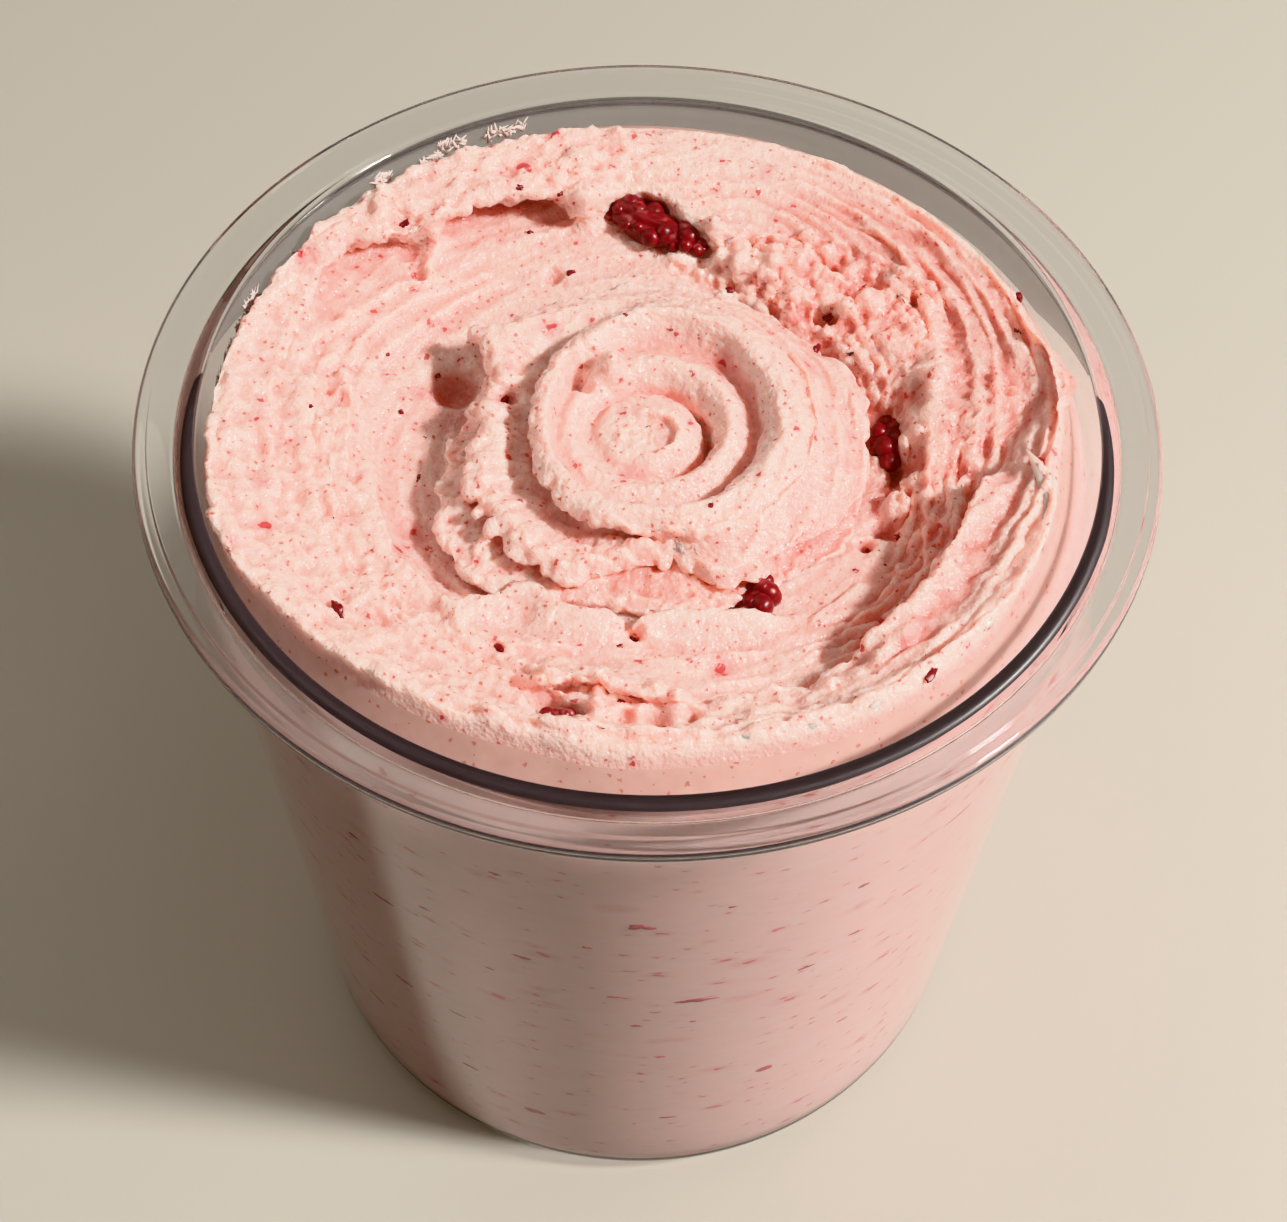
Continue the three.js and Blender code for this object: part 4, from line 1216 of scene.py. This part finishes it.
def strand_mesh(bm, line, seed):
    """A closed rounded strand along a line of places, thinning to nothing at both ends."""
    share = np.linspace(0, 1, STRAND_STEPS)
    knots = np.linspace(0, 1, len(line))
    x, y, low, wide, tall = (np.interp(share, knots, column) for column in zip(*line))
    for _ in range(3):
        x[1:-1] = (x[:-2] + x[1:-1] + x[2:]) / 3
        y[1:-1] = (y[:-2] + y[1:-1] + y[2:]) / 3
    taper = np.sqrt(np.clip(np.sin(math.pi * share), 0, 1))
    wavy = 1 + 0.35 * lumps(x / 1.6, y / 1.6, seed)
    heading = np.arctan2(np.gradient(y), np.gradient(x)) + math.pi / 2
    made = bmesh.ops.create_grid(bm, x_segments=STRAND_SIDES, y_segments=STRAND_STEPS - 1,
                                 size=1)["verts"]
    for vert in made:
        round_it = math.pi * (vert.co.x + 1)
        step = round((vert.co.y + 1) / 2 * (STRAND_STEPS - 1))
        out = wide[step] * taper[step] * wavy[step] * math.cos(round_it)
        up = tall[step] * taper[step] * math.sin(round_it)
        vert.co = Vector((x[step] + out * math.cos(heading[step]),
                          y[step] + out * math.sin(heading[step]), TUB_HEIGHT + low[step] + up)) * MM
    bmesh.ops.remove_doubles(bm, verts=made, dist=1e-7)


def melted_material():
    material, _, _, melt = shader_material("melting_ice_cream")
    melt.inputs["Base Color"].default_value = (0.92, 0.66, 0.59, 1)
    melt.inputs["Roughness"].default_value = 0.16
    melt.inputs["Coat Weight"].default_value = 0.5
    melt.inputs["Coat Roughness"].default_value = 0.06
    lit_within(melt, 0.9, (1, 0.5, 0.4), 2.5)
    return material


strands = bmesh.new()
for seed, line in enumerate(MELTED):
    strand_mesh(strands, line, seed + 3)
bmesh.ops.recalc_face_normals(strands, faces=strands.faces)
melting = finished_piece("melting_edge", strands, melted_material())


# ---- The frost ------------------------------------------------------------------------
# Ragged flakes of frozen cream left on the inside of the wall, above the ice cream at the
# back and the left, where it was filled higher and has sunk.

FROST = [  # angle round the tub, level below the rim, spread in degrees and in mm, flakes
    (131.6, -2.4, 1.6, 0.7, 22), (124.2, -3.0, 1.8, 0.6, 20), (120.4, -2.2, 2.4, 0.9, 30),
    (155, -4.8, 1.6, 0.7, 18), (159.6, -3.8, 2.2, 1.2, 44), (163, -4.2, 1.6, 0.9, 26),
    (167.6, -4.4, 2.0, 0.7, 18), (112, -2.2, 3.0, 0.7, 26), (144, -4.2, 2.0, 0.7, 12),
    (150.4, -4.4, 1.6, 1.0, 20), (172, -4.6, 1.6, 0.6, 12),
]


def frost_material():
    material, _, _, frost = shader_material("frost")
    frost.inputs["Base Color"].default_value = (0.88, 0.78, 0.75, 1)
    frost.inputs["Roughness"].default_value = 0.4
    return material


flakes = bmesh.new()
for seed, (angle, level_below, swing, climb, count) in enumerate(FROST):
    for n in range(count):
        turn = angle + swing * (2 * lattice(n, seed, 1) - 1)
        height = level_below + climb * (2 * lattice(n, seed, 2) - 1)
        seat = placed(turn, inner_wall_r(-height) - 0.05, TUB_HEIGHT + height)
        slant = math.radians(150 * (lattice(n, seed, 3) - 0.5))
        size = (0.10, 0.16 + 0.22 * lattice(n, seed, 4), 0.5 + 0.5 * lattice(n, seed, 5))
        shape = (Matrix.Translation(Vector(seat) * MM)
                 @ Matrix.Rotation(math.radians(turn), 4, "Z")
                 @ Matrix.Rotation(slant, 4, "X")
                 @ Matrix.Diagonal((size[0] * MM, size[1] * MM, size[2] * MM, 1)))
        bmesh.ops.create_cone(flakes, cap_ends=True, segments=5, radius1=1, radius2=0.1, depth=1.6,
                              matrix=shape)
frost_piece = finished_piece("frost_on_the_wall", flakes, frost_material())


# ---- The stage, lights and camera -----------------------------------------------------
# A plain pale surface for the tub to stand on, a small warm light high on the right, the
# dim warm light of a room, and a camera held close over the front of the tub.

WORKTOP_HALF = 3        # metres
worktop = bmesh.new()
bmesh.ops.create_grid(worktop, x_segments=1, y_segments=1, size=WORKTOP_HALF)
worktop_mesh = bpy.data.meshes.new("worktop")
worktop.to_mesh(worktop_mesh)
worktop.free()
pale, _, _, pale_shader = shader_material("pale_worktop")
pale_shader.inputs["Base Color"].default_value = (0.54, 0.515, 0.465, 1)
pale_shader.inputs["Roughness"].default_value = 0.45
worktop_mesh.materials.append(pale)
worktop_piece = bpy.data.objects.new("worktop", worktop_mesh)
bpy.context.scene.collection.objects.link(worktop_piece)

RIM_CENTRE = Vector((0, 0, TUB_HEIGHT * MM))


def soft_light(name, azimuth, elevation, distance, size, watts, color):
    """An area light aimed at the mouth; azimuth turns from +X towards +Y, in degrees."""
    lamp = bpy.data.lights.new(name, "AREA")
    lamp.shape = "DISK"
    lamp.size, lamp.energy, lamp.color = size, watts, color
    a, e = math.radians(azimuth), math.radians(elevation)
    away = Vector((math.cos(a) * math.cos(e), math.sin(a) * math.cos(e), math.sin(e)))
    holder = bpy.data.objects.new(name, lamp)
    holder.location = RIM_CENTRE + away * distance
    holder.rotation_euler = away.to_track_quat("Z", "Y").to_euler()
    bpy.context.scene.collection.objects.link(holder)


soft_light("window_light", -14, 42, 1.0, 0.13, 15, (1.0, 0.965, 0.91))
soft_light("room_fill", 150, 60, 1.4, 1.2, 3.8, (1.0, 0.90, 0.78))

room = bpy.data.worlds.new("room")
room.use_nodes = True
room.node_tree.nodes["Background"].inputs["Color"].default_value = (1.0, 0.89, 0.76, 1)
room.node_tree.nodes["Background"].inputs["Strength"].default_value = 0.22
bpy.context.scene.world = room
bpy.context.scene.view_settings.view_transform = "Khronos PBR Neutral"

# The camera, found from the circles of the tub: its distance and height angle from the
# rim's centre, and how far it is then tilted and rolled.
SENSOR_WIDTH = 36       # millimetres
PHOTO_WIDTH = 1287      # pixels
FOCAL_PIXELS = 2300
CAMERA_DISTANCE = 0.225  # metres
CAMERA_ELEVATION = 49.13
CAMERA_TILT = -5.12
CAMERA_ROLL = -1.5

lens = bpy.data.cameras.new("camera")
lens.sensor_width = SENSOR_WIDTH
lens.lens = SENSOR_WIDTH * FOCAL_PIXELS / PHOTO_WIDTH
lens.clip_start = 0.01
elevation = math.radians(CAMERA_ELEVATION)
place = RIM_CENTRE + CAMERA_DISTANCE * Vector((0, -math.cos(elevation), math.sin(elevation)))
aim = (Matrix.Rotation(math.pi / 2 - elevation, 4, "X")
       @ Matrix.Rotation(math.radians(CAMERA_TILT), 4, "X")
       @ Matrix.Rotation(-math.radians(CAMERA_ROLL), 4, "Z"))
camera = bpy.data.objects.new("camera", lens)
camera.matrix_world = Matrix.Translation(place) @ aim
bpy.context.scene.collection.objects.link(camera)
bpy.context.scene.camera = camera
